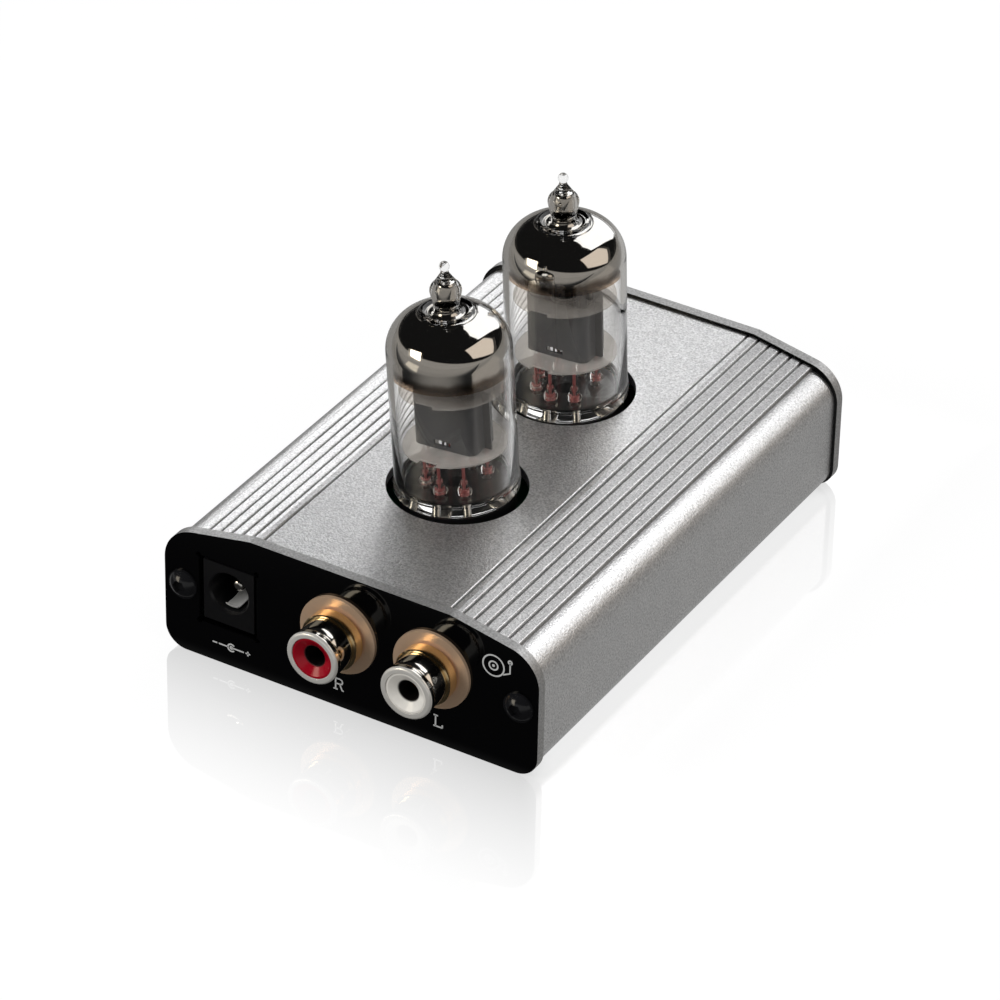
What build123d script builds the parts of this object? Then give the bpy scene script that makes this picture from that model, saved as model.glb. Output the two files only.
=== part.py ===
"""Desktop valve phono preamplifier: ribbed aluminium case, two end plates, two miniature valves.

Millimetres.  +Z is up and the part stands on z = 0, the bottom edges of its end plates.
The case runs along Y: the output and power plate faces -Y, the input plate faces +Y.
"""
from build123d import *
from math import cos, pi, radians, sin, sqrt, tan
import os

# ---------------------------------------------------------------- driving dimensions
# extruded case
case_width = 63.0
case_height = 22.3
case_length = 88.0
case_wall = 1.6
case_bottom_radius = 2.8
case_top_radius = 5.0
facet_angle = 11.0
facet_start = 1.0               # the facets fall away this far outside the first groove
shoulder_band = 4.1             # plain strip from the last groove to the side
ridge_count = 6
ridge_pitch = 1.9
ridge_height = 0.5
groove_width = 0.5              # across the top of the narrow groove between two ridges
groove_round = 0.2
valve_hole_radius = 10.65
valve_hole_spacing = 31.6

# end plates
plate_thickness = 1.7
plate_proud = 0.5               # the plates stand this far outside the case all round
plate_bottom_radius = 3.6
plate_top_radius = 6.0

# plate screws in the channels of the case
screw_from_side = 2.75
screw_z = 11.7
screw_radius = 1.45
screw_clearance = 0.05
screw_length = 9.0
screw_head_radius = 2.5
screw_head_height = 1.5
screw_socket_across = 2.0
screw_socket_depth = 0.9
screw_rim_height = 0.375        # the head's straight rim below its dome
screw_rim_radius = 2.4125
screw_overlap = 0.05            # the shank runs this far into the head
channel_wall = 1.1
channel_slot = 1.2

# circuit board in its rails
board_bottom_z = 5.3
board_thickness = 1.6
board_clearance = 0.1
board_end_gap = 0.6
rail_reach = 1.9
rail_thickness = 1.1
rail_root = 0.4                 # the rails run this far into the case's wall

# coaxial (RCA) jacks
jack_z = 12.94
output_jack_from_side = 17.2
output_jack_spacing = 15.9
jack_flange_radius = 6.4
jack_flange_thickness = 0.55
jack_collar_radius = 4.65
jack_collar_length = 2.4
jack_barrel_radius = 4.2
jack_lip_radius = 4.3
jack_lip_length = 1.3
jack_lip_round = 0.494
jack_reach = 7.5                # the lip's front stands this far from the plate
jack_bore_radius = 3.35
jack_step_wall = 0.5            # metal left where the wide bore ends in front of the shoulder
jack_stem_radius = 3.3
jack_stem_length = 7.0          # behind the plate's outer face
jack_stem_bore_radius = 2.5
jack_clearance = 0.03
jack_pin_bore_radius = 1.65
jack_pin_bore_end = -3.0        # inside the plate
jack_contact_front = 3.5
jack_pocket_radius = 2.1
jack_funnel_depth = 0.9
jack_insert_recess = 0.15       # the insert's rim stands this far inside the lip's front
jack_insert_rim = 0.3           # width of its flat rim round the funnel
jack_collar_chamfer = 0.15
jack_insulator_radius = 5.0
jack_insulator_thickness = 0.8
jack_lug_thickness = 0.4
jack_lug_radius = 4.6
jack_lug_ear = (1.8, 2.4)
jack_lug_ear_x = 5.2
jack_nut_across = 9.4
jack_nut_thickness = 2.0
jack_tail_length = 3.0
jack_tail_radius = 0.9
jack_contact_floor = 0.6        # solid metal between the cup's back end and the tail

# power inlet
inlet_from_side = 10.55
inlet_width = 8.8
inlet_height = 10.4
inlet_length = 13.5
inlet_recess = 0.3
inlet_window_gap = 0.65
inlet_window_relief = 0.45
inlet_barrel_radius = 3.25
inlet_barrel_depth = 9.5
inlet_mouth_chamfer = 0.3
inlet_barrel_rise = 5.7         # the barrel's axis above the board
inlet_pin_radius = 1.0
inlet_pin_recess = 2.2
inlet_pin_round = 0.6
spring_slot_width = 2.4
spring_slot_start = 3.0         # behind the inlet's face
spring_slot_floor = 1.2         # above the body's underside
spring_width = 2.0
spring_thickness = 0.3
spring_start = 3.4              # behind the inlet's face
spring_peak = 2.2               # behind the spring's start
spring_pin_gap = 1.3            # between the pin and the spring's peak

# push switch and its button
button_radius = 3.0
button_hole_clearance = 0.3
button_reach = 4.6
button_travel = 2.5
switch_width = 8.4
switch_height = 8.6
switch_length = 8.0
switch_rise = 5.3
plunger_side = 3.0
plunger_clearance = 0.15
switch_back_wall = 1.2
switch_plunger_gap = 0.4        # left behind the plunger at the end of its travel
switch_setback = 2.0            # behind the rear end of the case
button_round = 0.5

# ground post
ground_stud_radius = 2.0
ground_reach = 7.3
ground_washer_radius = 3.6
ground_washer_thickness = 0.8
ground_washer_gap = 0.05
ground_nut_radius = 3.3
ground_nut_length = 4.6
ground_nut_clearance = 0.06
ground_knurl_count = 24
ground_knurl_depth = 0.22
ground_lift = 1.6
ground_back_nut_across = 7.0
ground_back_nut_thickness = 2.4
ground_stud_chamfer = 0.3
ground_slot = (0.7, 0.7)        # width and depth of the slot in the stud's end
ground_nut_chamfer = 0.35
ground_stud_past_nut = 1.0

# valves: miniature seven-pin glass
socket_x = 1.2
socket_ys = (-15.8, 15.1)
valve_leans = (4.4, 2.6)        # degrees towards -X
valve_seat_height = 15.4        # the valve's base above the board, along its axis
valve_seat_gap = 0.3
bulb_radius = 9.3
bulb_rim_radius = 9.45
bulb_rim_height = 1.9
bulb_rim_round = 1.045
bulb_rim_fade = 0.35            # height over which the rim narrows to the bulb
bulb_wall = 0.9
bulb_floor_fillet = 0.7
dome_start = 23.8
dome_radius = 6.2
dome_sweep = 78.0               # degrees of arc from the side of the bulb to its crown
crown_ring = (3.8, 30.25)       # radius and height of the raised ring on the crown
moat_rim = (3.2, 30.05)
moat_bottom = (2.45, 30.12)
nipple_foot = (1.9, 30.65)
nipple_belly = (2.37, 33.4)
nipple_shoulder_radius = 1.6
nipple_shoulder_sweep = 55.0    # degrees
nipple_neck = (0.6, 36.3)
tip_height = 38.1
tip_ball_radius = 0.78
tip_joint_radius = 0.55
nipple_bore = (1.15, 30.8)
nipple_bore_belly = (1.5, 33.2)
nipple_bore_end = (0.4, 34.9)
mirror_hole_radius = 1.7
mirror_bottoms = (21.4, 23.2)
mirror_thickness = 0.12
mirror_gap = 0.04
mica_heights = (8.1, 17.9)
mica_radius = 7.8
mica_thickness = 0.3
mica_slot = 1.2                 # square holes for the support rods
mica_notch = (3.0, 0.8)
mica_grid_gap = 0.3
electrode_gap = 0.05            # between the electrodes and the micas they stand on
anode_width = 10.4
anode_depth = 6.6
anode_wall = 0.3
anode_window = (2.8, 0.8)
anode_window_rise = 0.7
anode_corner = 1.2
seam_flange = 1.1
pin_circle_radius = 4.7625
pin_count = 7
pin_gap_count = 8               # seven pins on an eight-place circle
pin_radius = 0.51
pin_length = 6.5
lead_radius = 0.25
cathode_radius = 0.55
grid_radii = (1.3, 2.1)
grid_wire_radius = 0.1
grid_turns = 7
grid_rod_radius = 0.18
support_rod_radius = 0.35
support_rod_inset = 1.0         # from the anode's side
electrode_ends = (1.2, 1.0)     # how far rods run past the lower and upper mica
pin_stub = 0.5                  # how far the pins stand inside the bulb
pin_round = 0.3
getter_ring_radius = 2.6
getter_wire_radius = 0.35
getter_height = 20.6

# valve sockets
socket_flange_radius = 8.7
socket_flange_height = 2.4
socket_body_radius = 7.4
socket_body_height = 11.0
socket_centre_radius = 1.6
contact_hole_radius = 0.82
contact_wall = 0.2
contact_recess = 0.3
contact_well = 0.5              # left below the pin's tip
contact_clearance = 0.04
contact_leg_radius = 0.4
leg_hole_radius = 0.75
leg_below_board = 1.0

# parts on the board: offsets from the left or right side of the case, or from its front or rear end
electrolytic_radius = 4.0
electrolytic_height = 11.5
electrolytic_round = 0.5
electrolytic_crimp = (2.0, 0.25, 0.6)   # height, centre outside the can, radius
electrolytic_from_side = 10.5
electrolytic_pitch = 12.0
electrolytic_first_y = -22.0
electrolytic_counts = (4, 2)    # left row, right row
film_size = (5.0, 11.0, 9.0)
film_round = 0.4
film_from_side = 9.9
film_ys = (3.0, 16.5)
film_rear = (16.7, 17.5)        # from the side, from the rear end
resistor_radius = 1.15
resistor_length = 6.3
resistor_lead_radius = 0.3
resistor_lead_span = 10.0
resistor_lead_bend = 0.6
resistor_round = 0.4
resistor_lift = 0.3
resistor_from_side = 19.0
resistor_ys = (-26.5, -12.5, 1.5, 14.5)
resistor_front_xs = (0.9, 5.4)
resistor_front_gap = 13.5       # from the front end
inductor_radius = 5.0
inductor_hole_radius = 2.2
inductor_height = 5.0
inductor_round = 0.8
inductor_place = (10.9, 14.5)   # from the side, from the rear end
chip_size = (6.4, 9.8, 3.2)
chip_place = (19.8, 15.0)       # from the side, from the rear end
chip_leg = (0.5, 0.3)
chip_leg_pitch = 2.54
chip_lift = 0.6
seat_gap = 0.05                 # soldered parts stand this far off the board
lead_wire_radius = 0.35

# ---------------------------------------------------------------- places worked out from them
case_bottom = plate_proud
case_top = case_bottom + case_height
case_half_width = case_width / 2
case_half_length = case_length / 2
plate_outer_y = case_half_length + plate_thickness
facet_slope = tan(radians(facet_angle))
first_groove_x = case_half_width - shoulder_band - ridge_count * ridge_pitch
flat_half_width = first_groove_x + facet_start
screw_offset_x = case_half_width - screw_from_side
channel_inner_x = screw_offset_x - screw_radius - screw_clearance - channel_wall
inlet_x = inlet_from_side - case_half_width
output_left_x = case_half_width - output_jack_from_side
output_right_x = output_left_x - output_jack_spacing
back_nut_corners = 2 * ground_back_nut_across / sqrt(3)
rear_widths = (2 * jack_flange_radius, 2 * jack_flange_radius, back_nut_corners, switch_width)
rear_gap = (2 * channel_inner_x - sum(rear_widths)) / (len(rear_widths) + 1)
rear_xs = []
for i, width in enumerate(rear_widths):
    rear_xs.append((i + 1) * rear_gap + sum(rear_widths[:i]) + width / 2 - channel_inner_x)
input_left_x, input_right_x, ground_x, button_x = rear_xs
board_top = board_bottom_z + board_thickness
board_half_width = case_half_width - case_wall - board_clearance
board_half_length = case_half_length - board_end_gap
inlet_z = board_top + inlet_barrel_rise
button_z = board_top + switch_rise
valve_hole_ys = (-valve_hole_spacing / 2, valve_hole_spacing / 2)
front_face = Pos(0, -plate_outer_y, 0) * Rot(90, 0, 0)
rear_face = Pos(0, plate_outer_y, 0) * Rot(0, 0, 180) * Rot(90, 0, 0)

nodes = {}


def keep(name, *solids):
    """File the solids of one node."""
    nodes[name] = solids[0] if len(solids) == 1 else Compound(children=list(solids))


# ---------------------------------------------------------------- drawing helpers
def corner_arc(before, corner, after, radius):
    """The three points of the arc that rounds a corner."""
    to_before = (before - corner).normalized()
    to_after = (after - corner).normalized()
    half = radians(to_before.get_angle(to_after)) / 2
    reach = radius / tan(half)
    middle = corner + (to_before + to_after).normalized() * (radius / sin(half) - radius)
    return corner + to_before * reach, middle, corner + to_after * reach


def rounded_face(corners, place):
    """A face with a rounded corner at each (a, b, radius); place turns a and b into a point."""
    points = [place(a, b) for a, b, _ in corners]
    arcs = []
    for i, (_, _, radius) in enumerate(corners):
        here = points[i]
        if radius > 0:
            arcs.append(corner_arc(points[i - 1], here, points[(i + 1) % len(points)], radius))
        else:
            arcs.append((here, here, here))
    edges = []
    for i, (start, middle, end) in enumerate(arcs):
        if (end - start).length > 1e-6:
            edges.append(Edge.make_three_point_arc(start, middle, end))
        following = arcs[(i + 1) % len(arcs)][0]
        if (following - end).length > 1e-6:
            edges.append(Edge.make_line(end, following))
    return Face(Wire(edges))


def across(a, b):
    """A point of the XZ section, at y = 0."""
    return Vector(a, 0, b)


def lengthwise(face, start, end):
    """A prism of an XZ section from y = start to y = end."""
    return Pos(0, start, 0) * Solid(extrude(face, amount=end - start, dir=(0, 1, 0)).wrapped)


def rod(radius, start, end, x=0.0, y=0.0):
    """An upright cylinder between two heights."""
    height = end - start
    return Pos(x, y, start + height / 2) * Cylinder(radius, height)


def tube(outer, inner, start, end, x=0.0, y=0.0):
    """An upright sleeve between two heights."""
    return rod(outer, start, end, x, y) - rod(inner, start - 1, end + 1, x, y)


def block(width, depth, start, end, x=0.0, y=0.0):
    """An upright block between two heights."""
    height = end - start
    return Pos(x, y, start + height / 2) * Box(width, depth, height)


def hexagon(across_flats, start, end):
    """An upright hexagonal prism between two heights."""
    face = RegularPolygon(radius=across_flats / sqrt(3), side_count=6)
    return Pos(0, 0, start) * extrude(face, amount=end - start)


def turned(edges):
    """A solid of revolution about Z from the edges of its closed half section."""
    return revolve(Face(Wire(edges)), Axis.Z, 360)


def line(a, b):
    """A straight stretch of a half section, from (radius, height) to (radius, height)."""
    return Edge.make_line(Vector(a[0], 0, a[1]), Vector(b[0], 0, b[1]))


def arc(a, b, c):
    """A round stretch of a half section through three points."""
    return Edge.make_three_point_arc(*(Vector(r, 0, h) for r, h in (a, b, c)))


def chain(points):
    """Straight stretches through the points and back to the first."""
    return [line(a, b) for a, b in zip(points, points[1:] + points[:1])]


def wire_along(points, radius, bend):
    """A round wire with rounded bends through the points."""
    path = FilletPolyline(*points, radius=bend)
    start = Plane(origin=points[0], z_dir=Vector(*points[1]) - Vector(*points[0]))
    return sweep(start * Circle(radius), path=path)


# ---------------------------------------------------------------- case and plates
def crest_height(x):
    """Height of the ridges' flat tops."""
    return case_top - max(0.0, abs(x) - flat_half_width) * facet_slope


def groove(x):
    """Corners of one groove from its inner edge to its outer edge."""
    inner, outer = x - groove_width / 2, x + groove_width / 2
    corners = [(inner, crest_height(inner), groove_round)]
    corners.append((x, crest_height(x) - ridge_height, 0))
    corners.append((outer, crest_height(outer), groove_round))
    return corners


def case_outline():
    """Outer section of the extrusion: flat ridges between narrow grooves on each facet."""
    grooves = [groove(first_groove_x + i * ridge_pitch) for i in range(ridge_count + 1)]
    right = grooves[0] + [(flat_half_width, case_top, 0)]
    for corners in grooves[1:-1]:
        right += corners
    right += grooves[-1][:2]
    right.append((case_half_width, crest_height(case_half_width) - ridge_height, case_top_radius))
    right.append((case_half_width, case_bottom, case_bottom_radius))
    left = [(-x, z, radius) for x, z, radius in right[::-1]]
    return rounded_face(right + left, across)


def cavity_outline():
    """Inner section of the extrusion, one wall inside the outer one."""
    inner = case_half_width - case_wall
    under = ridge_height + case_wall / cos(radians(facet_angle))
    floor_radius = case_bottom_radius - case_wall
    roof_radius = case_top_radius - case_wall
    facet = [(flat_half_width, crest_height(flat_half_width) - under, 0)]
    facet.append((inner, crest_height(inner) - under, roof_radius))
    roof_x = first_groove_x - case_wall
    foot = (inner, case_bottom + case_wall, floor_radius)
    right = [foot] + facet[::-1] + [(roof_x, case_top - case_wall, 0)]
    left = [(-x, z, radius) for x, z, radius in right[::-1]]
    return rounded_face(right + left, across)


def build_case():
    """Case with board rails, screw channels and the two valve holes."""
    shell = lengthwise(case_outline(), -case_half_length, case_half_length)
    shell -= lengthwise(cavity_outline(), -case_half_length - 1, case_half_length + 1)
    inner = case_half_width - case_wall
    slot_bottom = board_bottom_z - board_clearance
    slot_top = board_top + board_clearance
    channel_radius = screw_radius + screw_clearance
    for side in (-1, 1):
        rail_x = side * (inner + rail_root - (rail_reach + rail_root) / 2)
        for low in (slot_bottom - rail_thickness, slot_top):
            shell += block(rail_reach + rail_root, case_length, low, low + rail_thickness, rail_x)
        channel = Pos(side * screw_offset_x, 0, screw_z) * Rot(90, 0, 0)
        shell += channel * Cylinder(channel_radius + channel_wall, case_length)
        shell -= channel * Cylinder(channel_radius, case_length + 2)
        slot_x = side * (screw_offset_x - channel_radius)
        low, high = screw_z - channel_slot / 2, screw_z + channel_slot / 2
        shell -= block(2 * channel_radius, case_length + 2, low, high, slot_x)
    for y in valve_hole_ys:
        shell -= rod(valve_hole_radius, case_top - 2 * case_wall, case_top + 1, 0, y)
    return shell


def plate_outline():
    """Outline of an end plate, which follows the case at a small distance."""
    half_width = case_half_width + plate_proud
    kink = flat_half_width + plate_proud * tan(radians(facet_angle) / 2)
    top = case_top + plate_proud
    side_top = top - (half_width - kink) * facet_slope
    foot = (half_width, case_bottom - plate_proud, plate_bottom_radius)
    right = [foot, (half_width, side_top, plate_top_radius), (kink, top, 0)]
    return rounded_face(right + [(-x, z, radius) for x, z, radius in right[::-1]], across)


def plate_hole(radius, x, z, side):
    """A round cutter through a plate."""
    return Pos(x, side * plate_outer_y, z) * Rot(90, 0, 0) * Cylinder(radius, 4 * plate_thickness)


def plate_blank(side):
    """An end plate with its screw holes."""
    blank = lengthwise(plate_outline(), case_half_length, plate_outer_y)
    for x in (-screw_offset_x, screw_offset_x):
        blank -= plate_hole(screw_radius + 2 * screw_clearance, x, screw_z, 1)
    return blank if side > 0 else blank.mirror(Plane.XZ)


def build_front_plate():
    """Output plate: power window with relieved corners and two jack holes."""
    plate = plate_blank(-1)
    for x in (output_right_x, output_left_x):
        plate -= plate_hole(jack_stem_radius + jack_clearance, x, jack_z, -1)
    half_width = inlet_width / 2 + inlet_window_gap
    low = board_top - inlet_window_gap
    high = board_top + inlet_height + inlet_window_gap
    plate -= block(2 * half_width, 4 * plate_thickness, low, high, inlet_x, -plate_outer_y)
    for x in (inlet_x - half_width, inlet_x + half_width):
        for z in (low, high):
            plate -= plate_hole(inlet_window_relief, x, z, -1)
    return plate


def build_rear_plate():
    """Input plate: two jack holes, the ground post's hole and the button's hole."""
    plate = plate_blank(1)
    for x in (input_right_x, input_left_x):
        plate -= plate_hole(jack_stem_radius + jack_clearance, x, jack_z, 1)
    plate -= plate_hole(ground_stud_radius + jack_clearance, ground_x, jack_z, 1)
    plate -= plate_hole(button_radius + button_hole_clearance, button_x, button_z, 1)
    return plate


def plate_screw():
    """Button-head screw; z = 0 is the plate's face and +Z points out of it."""
    dome = (screw_head_radius ** 2 + screw_head_height ** 2) / (2 * screw_head_height)
    ball = Pos(0, 0, screw_head_height - dome) * Sphere(dome)
    head = ball & rod(screw_head_radius, screw_rim_height, screw_head_height)
    head += rod(screw_rim_radius, 0, screw_rim_height)
    head -= hexagon(screw_socket_across, screw_head_height - screw_socket_depth, screw_head_height + 1)
    return head + rod(screw_radius, -screw_length, screw_overlap)


keep("case", build_case())
keep("front_plate", build_front_plate())
keep("rear_plate", build_rear_plate())
for name, face in (("front_plate_screws", front_face), ("rear_plate_screws", rear_face)):
    keep(name, *(face * Pos(x, screw_z, 0) * plate_screw() for x in (-screw_offset_x, screw_offset_x)))


# ---------------------------------------------------------------- coaxial jacks
# z = 0 on the plate's face, +Z out of it
stack_top = -plate_thickness    # pieces behind the plate hang below this
insulator_bottom = stack_top - jack_insulator_thickness
lug_bottom = insulator_bottom - jack_lug_thickness
nut_bottom = lug_bottom - jack_nut_thickness


def jack_shell():
    """Turned metal shell: threaded stem, barrel and rolled lip."""
    shoulder = jack_flange_thickness + jack_collar_length
    lip_start = jack_reach - jack_lip_length
    edge = jack_lip_round
    step = shoulder + jack_step_wall
    inner = jack_bore_radius
    outer = jack_lip_radius
    bend = edge * (1 - cos(pi / 4))
    back_round = [(outer - edge / 2, lip_start), (outer - bend / 2, lip_start + bend)]
    back_round.append((outer, lip_start + edge))
    front_round = [(outer, jack_reach - edge), (outer - bend, jack_reach - bend), (outer - edge, jack_reach)]
    section = [line((jack_stem_bore_radius, -jack_stem_length), (jack_stem_radius, -jack_stem_length))]
    section.append(line((jack_stem_radius, -jack_stem_length), (jack_stem_radius, shoulder)))
    section.append(line((jack_stem_radius, shoulder), (jack_barrel_radius, shoulder)))
    section.append(line((jack_barrel_radius, shoulder), (jack_barrel_radius, lip_start)))
    section.append(line((jack_barrel_radius, lip_start), back_round[0]))
    section.append(arc(*back_round))
    section.append(line(back_round[2], front_round[0]))
    section.append(arc(*front_round))
    section.append(line(front_round[2], (inner, jack_reach)))
    section.append(line((inner, jack_reach), (inner, step)))
    section.append(line((inner, step), (jack_stem_bore_radius, step)))
    section.append(line((jack_stem_bore_radius, step), (jack_stem_bore_radius, -jack_stem_length)))
    return turned(section)


def jack_insert():
    """Coloured insulating bush with a funnel mouth; the plug's pin enters its bore."""
    outer = jack_bore_radius - jack_clearance
    front = jack_reach - jack_insert_recess
    back = jack_flange_thickness + jack_collar_length + jack_step_wall + jack_clearance
    rim = outer - jack_insert_rim
    throat = front - jack_funnel_depth
    stem = jack_stem_bore_radius - jack_clearance
    points = [(jack_pin_bore_radius, throat), (rim, front), (outer, front), (outer, back)]
    pocket_end = jack_contact_front + jack_clearance
    points += [(stem, back), (stem, -jack_stem_length), (jack_pocket_radius, -jack_stem_length)]
    points += [(jack_pocket_radius, pocket_end), (jack_pin_bore_radius, pocket_end)]
    return turned(chain(points))


def jack_contact():
    """Centre contact that grips the plug's pin, with its solder tail."""
    outer = jack_pocket_radius - jack_clearance
    cup = rod(outer, -jack_stem_length - jack_contact_floor, jack_contact_front)
    cup -= rod(jack_pin_bore_radius, jack_pin_bore_end, jack_contact_front + 1)
    tail_end = -jack_stem_length - jack_tail_length
    return cup + rod(jack_tail_radius, tail_end, -jack_stem_length)


def jack_flange():
    """Wide thin washer between the collar and the plate."""
    return tube(jack_flange_radius, jack_stem_radius + jack_clearance, 0, jack_flange_thickness)


def jack_collar():
    """Raised ring in front of the flange, clamped by the barrel's shoulder."""
    base = jack_flange_thickness
    ring = tube(jack_collar_radius, jack_stem_radius + jack_clearance, base, base + jack_collar_length)
    front_edges = ring.edges().filter_by(GeomType.CIRCLE).sort_by(Axis.Z)[-2:]
    return chamfer(front_edges.sort_by(SortBy.RADIUS)[-1:], jack_collar_chamfer)


def jack_insulator():
    """Fibre washer behind the plate."""
    return tube(jack_insulator_radius, jack_stem_radius + jack_clearance, insulator_bottom, stack_top)


def jack_lug():
    """Ring lug for the ground wire, with its ear pointing sideways."""
    ring = tube(jack_lug_radius, jack_stem_radius + jack_clearance, lug_bottom, insulator_bottom)
    return ring + block(*jack_lug_ear, lug_bottom, insulator_bottom, jack_lug_ear_x)


def jack_nut():
    """Hexagonal nut that holds the jack."""
    nut = hexagon(jack_nut_across, nut_bottom, lug_bottom)
    return nut - rod(jack_stem_radius + jack_clearance, nut_bottom - 1, lug_bottom + 1)


jacks = [("output_right", front_face, output_right_x), ("output_left", front_face, output_left_x)]
jacks += [("input_right", rear_face, -input_right_x), ("input_left", rear_face, -input_left_x)]
jack_places = [face * Pos(x, jack_z, 0) for _, face, x in jacks]
for (name, _, _), place in zip(jacks, jack_places):
    keep(f"{name}_jack_shell", place * jack_shell())
    keep(f"{name}_jack_insert", place * jack_insert())
    keep(f"{name}_jack_contact", place * jack_contact())
    keep(f"{name}_jack_flange", place * jack_flange())
keep("jack_collars", *(place * jack_collar() for place in jack_places))
keep("jack_insulators", *(place * jack_insulator() for place in jack_places))
keep("jack_ground_lugs", *(place * jack_lug() for place in jack_places))
keep("jack_nuts", *(place * jack_nut() for place in jack_places))


# ---------------------------------------------------------------- power inlet
inlet_front_y = -plate_outer_y + inlet_recess


def build_inlet_body():
    """Moulded inlet on the board with a round socket."""
    bottom = board_top + seat_gap
    centre_y = inlet_front_y + inlet_length / 2
    body = block(inlet_width, inlet_length, bottom, board_top + inlet_height, inlet_x, centre_y)
    axis = Pos(inlet_x, inlet_front_y, inlet_z) * Rot(90, 0, 0)
    body -= axis * Cylinder(inlet_barrel_radius, 2 * inlet_barrel_depth)
    cone = Cone(inlet_barrel_radius, inlet_barrel_radius + 2 * inlet_mouth_chamfer, 2 * inlet_mouth_chamfer)
    body -= axis * cone
    slot_length = inlet_barrel_depth - spring_slot_start
    slot_y = inlet_front_y + spring_slot_start + slot_length / 2
    body -= block(spring_slot_width, slot_length, bottom + spring_slot_floor, inlet_z, inlet_x, slot_y)
    pin_seat = Cylinder(inlet_pin_radius + jack_clearance, 2 * inlet_length + 2)
    return body - axis * pin_seat


def build_inlet_pin():
    """Centre pin with a rounded tip."""
    length = inlet_length - inlet_pin_recess
    pin = rod(inlet_pin_radius, 0, length)
    pin = fillet(pin.edges().filter_by(GeomType.CIRCLE).sort_by(Axis.Z)[-1:], inlet_pin_round)
    return Pos(inlet_x, inlet_front_y + inlet_length, inlet_z) * Rot(90, 0, 0) * pin


def build_inlet_spring():
    """Leaf contact in the floor of the socket, bent up towards the plug."""
    floor = board_top + 2 * seat_gap + spring_slot_floor
    start = inlet_front_y + spring_start
    end = inlet_front_y + inlet_barrel_depth - 2 * seat_gap
    peak = inlet_z - inlet_pin_radius - spring_pin_gap
    upper = [(start, floor + spring_thickness), (start + spring_peak, peak), (end, floor + spring_thickness)]
    lower = [(y, z - spring_thickness) for y, z in upper[::-1]]
    points = [Vector(inlet_x - spring_width / 2, y, z) for y, z in upper + lower]
    profile = Face(Wire([Edge.make_line(a, b) for a, b in zip(points, points[1:] + points[:1])]))
    return extrude(profile, amount=spring_width, dir=(1, 0, 0))


keep("power_inlet_body", build_inlet_body())
keep("power_inlet_pin", build_inlet_pin())
keep("power_inlet_spring", build_inlet_spring())


# ---------------------------------------------------------------- push switch on the board
switch_front_y = case_half_length - switch_setback


def build_switch_body():
    """Latching switch housing with a square way for its plunger."""
    centre_y = switch_front_y - switch_length / 2
    top = board_top + switch_height
    body = block(switch_width, switch_length, board_top + seat_gap, top, button_x, centre_y)
    way = plunger_side + 2 * plunger_clearance
    depth = switch_length - switch_back_wall
    way_y = switch_front_y - depth / 2 + 0.5
    return body - block(way, depth + 1, button_z - way / 2, button_z + way / 2, button_x, way_y)


def build_button():
    """Round cap on the switch's square plunger."""
    tip_y = plate_outer_y + button_reach
    cap_length = tip_y - switch_front_y - button_travel - plunger_clearance
    cap = Pos(button_x, tip_y, button_z) * Rot(90, 0, 0) * rod(button_radius, 0, cap_length)
    cap = fillet(cap.edges().filter_by(GeomType.CIRCLE).sort_by(Axis.Y)[-1:], button_round)
    stem_start = switch_front_y - switch_length + switch_back_wall + button_travel + switch_plunger_gap
    stem_length = tip_y - cap_length + button_round - stem_start
    low, high = button_z - plunger_side / 2, button_z + plunger_side / 2
    return cap + block(plunger_side, stem_length, low, high, button_x, stem_start + stem_length / 2)


keep("power_switch_body", build_switch_body())
keep("power_button", build_button())


# ---------------------------------------------------------------- ground post
# z = 0 on the plate's face, +Z out of it
ground_place = rear_face * Pos(-ground_x, jack_z, 0)


def ground_stud():
    """Plain stud through the plate, with a slot in its end."""
    back_end = -plate_thickness - ground_back_nut_thickness - ground_stud_past_nut
    stud = rod(ground_stud_radius, back_end, ground_reach)
    stud = chamfer(stud.edges().filter_by(GeomType.CIRCLE).sort_by(Axis.Z)[-1:], ground_stud_chamfer)
    slot_width, slot_depth = ground_slot
    return stud - block(slot_width, 2 * ground_stud_radius + 1, ground_reach - slot_depth, ground_reach + 1)


def ground_washer():
    """Cupped washer that the thumb nut carries with it."""
    bore = ground_stud_radius + ground_nut_clearance
    return tube(ground_washer_radius, bore, ground_washer_gap, ground_washer_thickness)


def ground_thumb_nut():
    """Knurled thumb nut; straight grooves round a turned cylinder."""
    start = ground_washer_thickness + ground_washer_gap
    end = start + ground_nut_length
    nut = rod(ground_nut_radius, start, end)
    nut = chamfer(nut.edges().filter_by(GeomType.CIRCLE), ground_nut_chamfer)
    nut -= rod(ground_stud_radius + ground_nut_clearance, start - 1, end + 1)
    side = ground_knurl_depth * sqrt(2)
    knurl_place = Pos(ground_nut_radius, 0, (start + end) / 2) * Rot(0, 0, 45)
    knurl = knurl_place * Box(side, side, ground_nut_length + 1)
    for i in range(ground_knurl_count):
        nut -= Rot(0, 0, i * 360 / ground_knurl_count) * knurl
    return nut


def ground_back_nut():
    """Hexagonal nut behind the plate."""
    start = -plate_thickness - ground_back_nut_thickness
    nut = hexagon(ground_back_nut_across, start, -plate_thickness)
    return nut - rod(ground_stud_radius + ground_nut_clearance, start - 1, 0)


keep("ground_post_stud", ground_place * ground_stud())
keep("ground_post_washer", ground_place * ground_washer())
keep("ground_post_thumb_nut", ground_place * ground_thumb_nut())
keep("ground_post_back_nut", ground_place * ground_back_nut())


# ---------------------------------------------------------------- valves
# z = 0 on the glass base, +Z along the axis
def pin_places():
    """Centres of the seven pins; the eighth place is the gap."""
    for i in range(pin_count):
        angle = 2 * pi * (i + 1) / pin_gap_count
        yield pin_circle_radius * cos(angle), pin_circle_radius * sin(angle)


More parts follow.
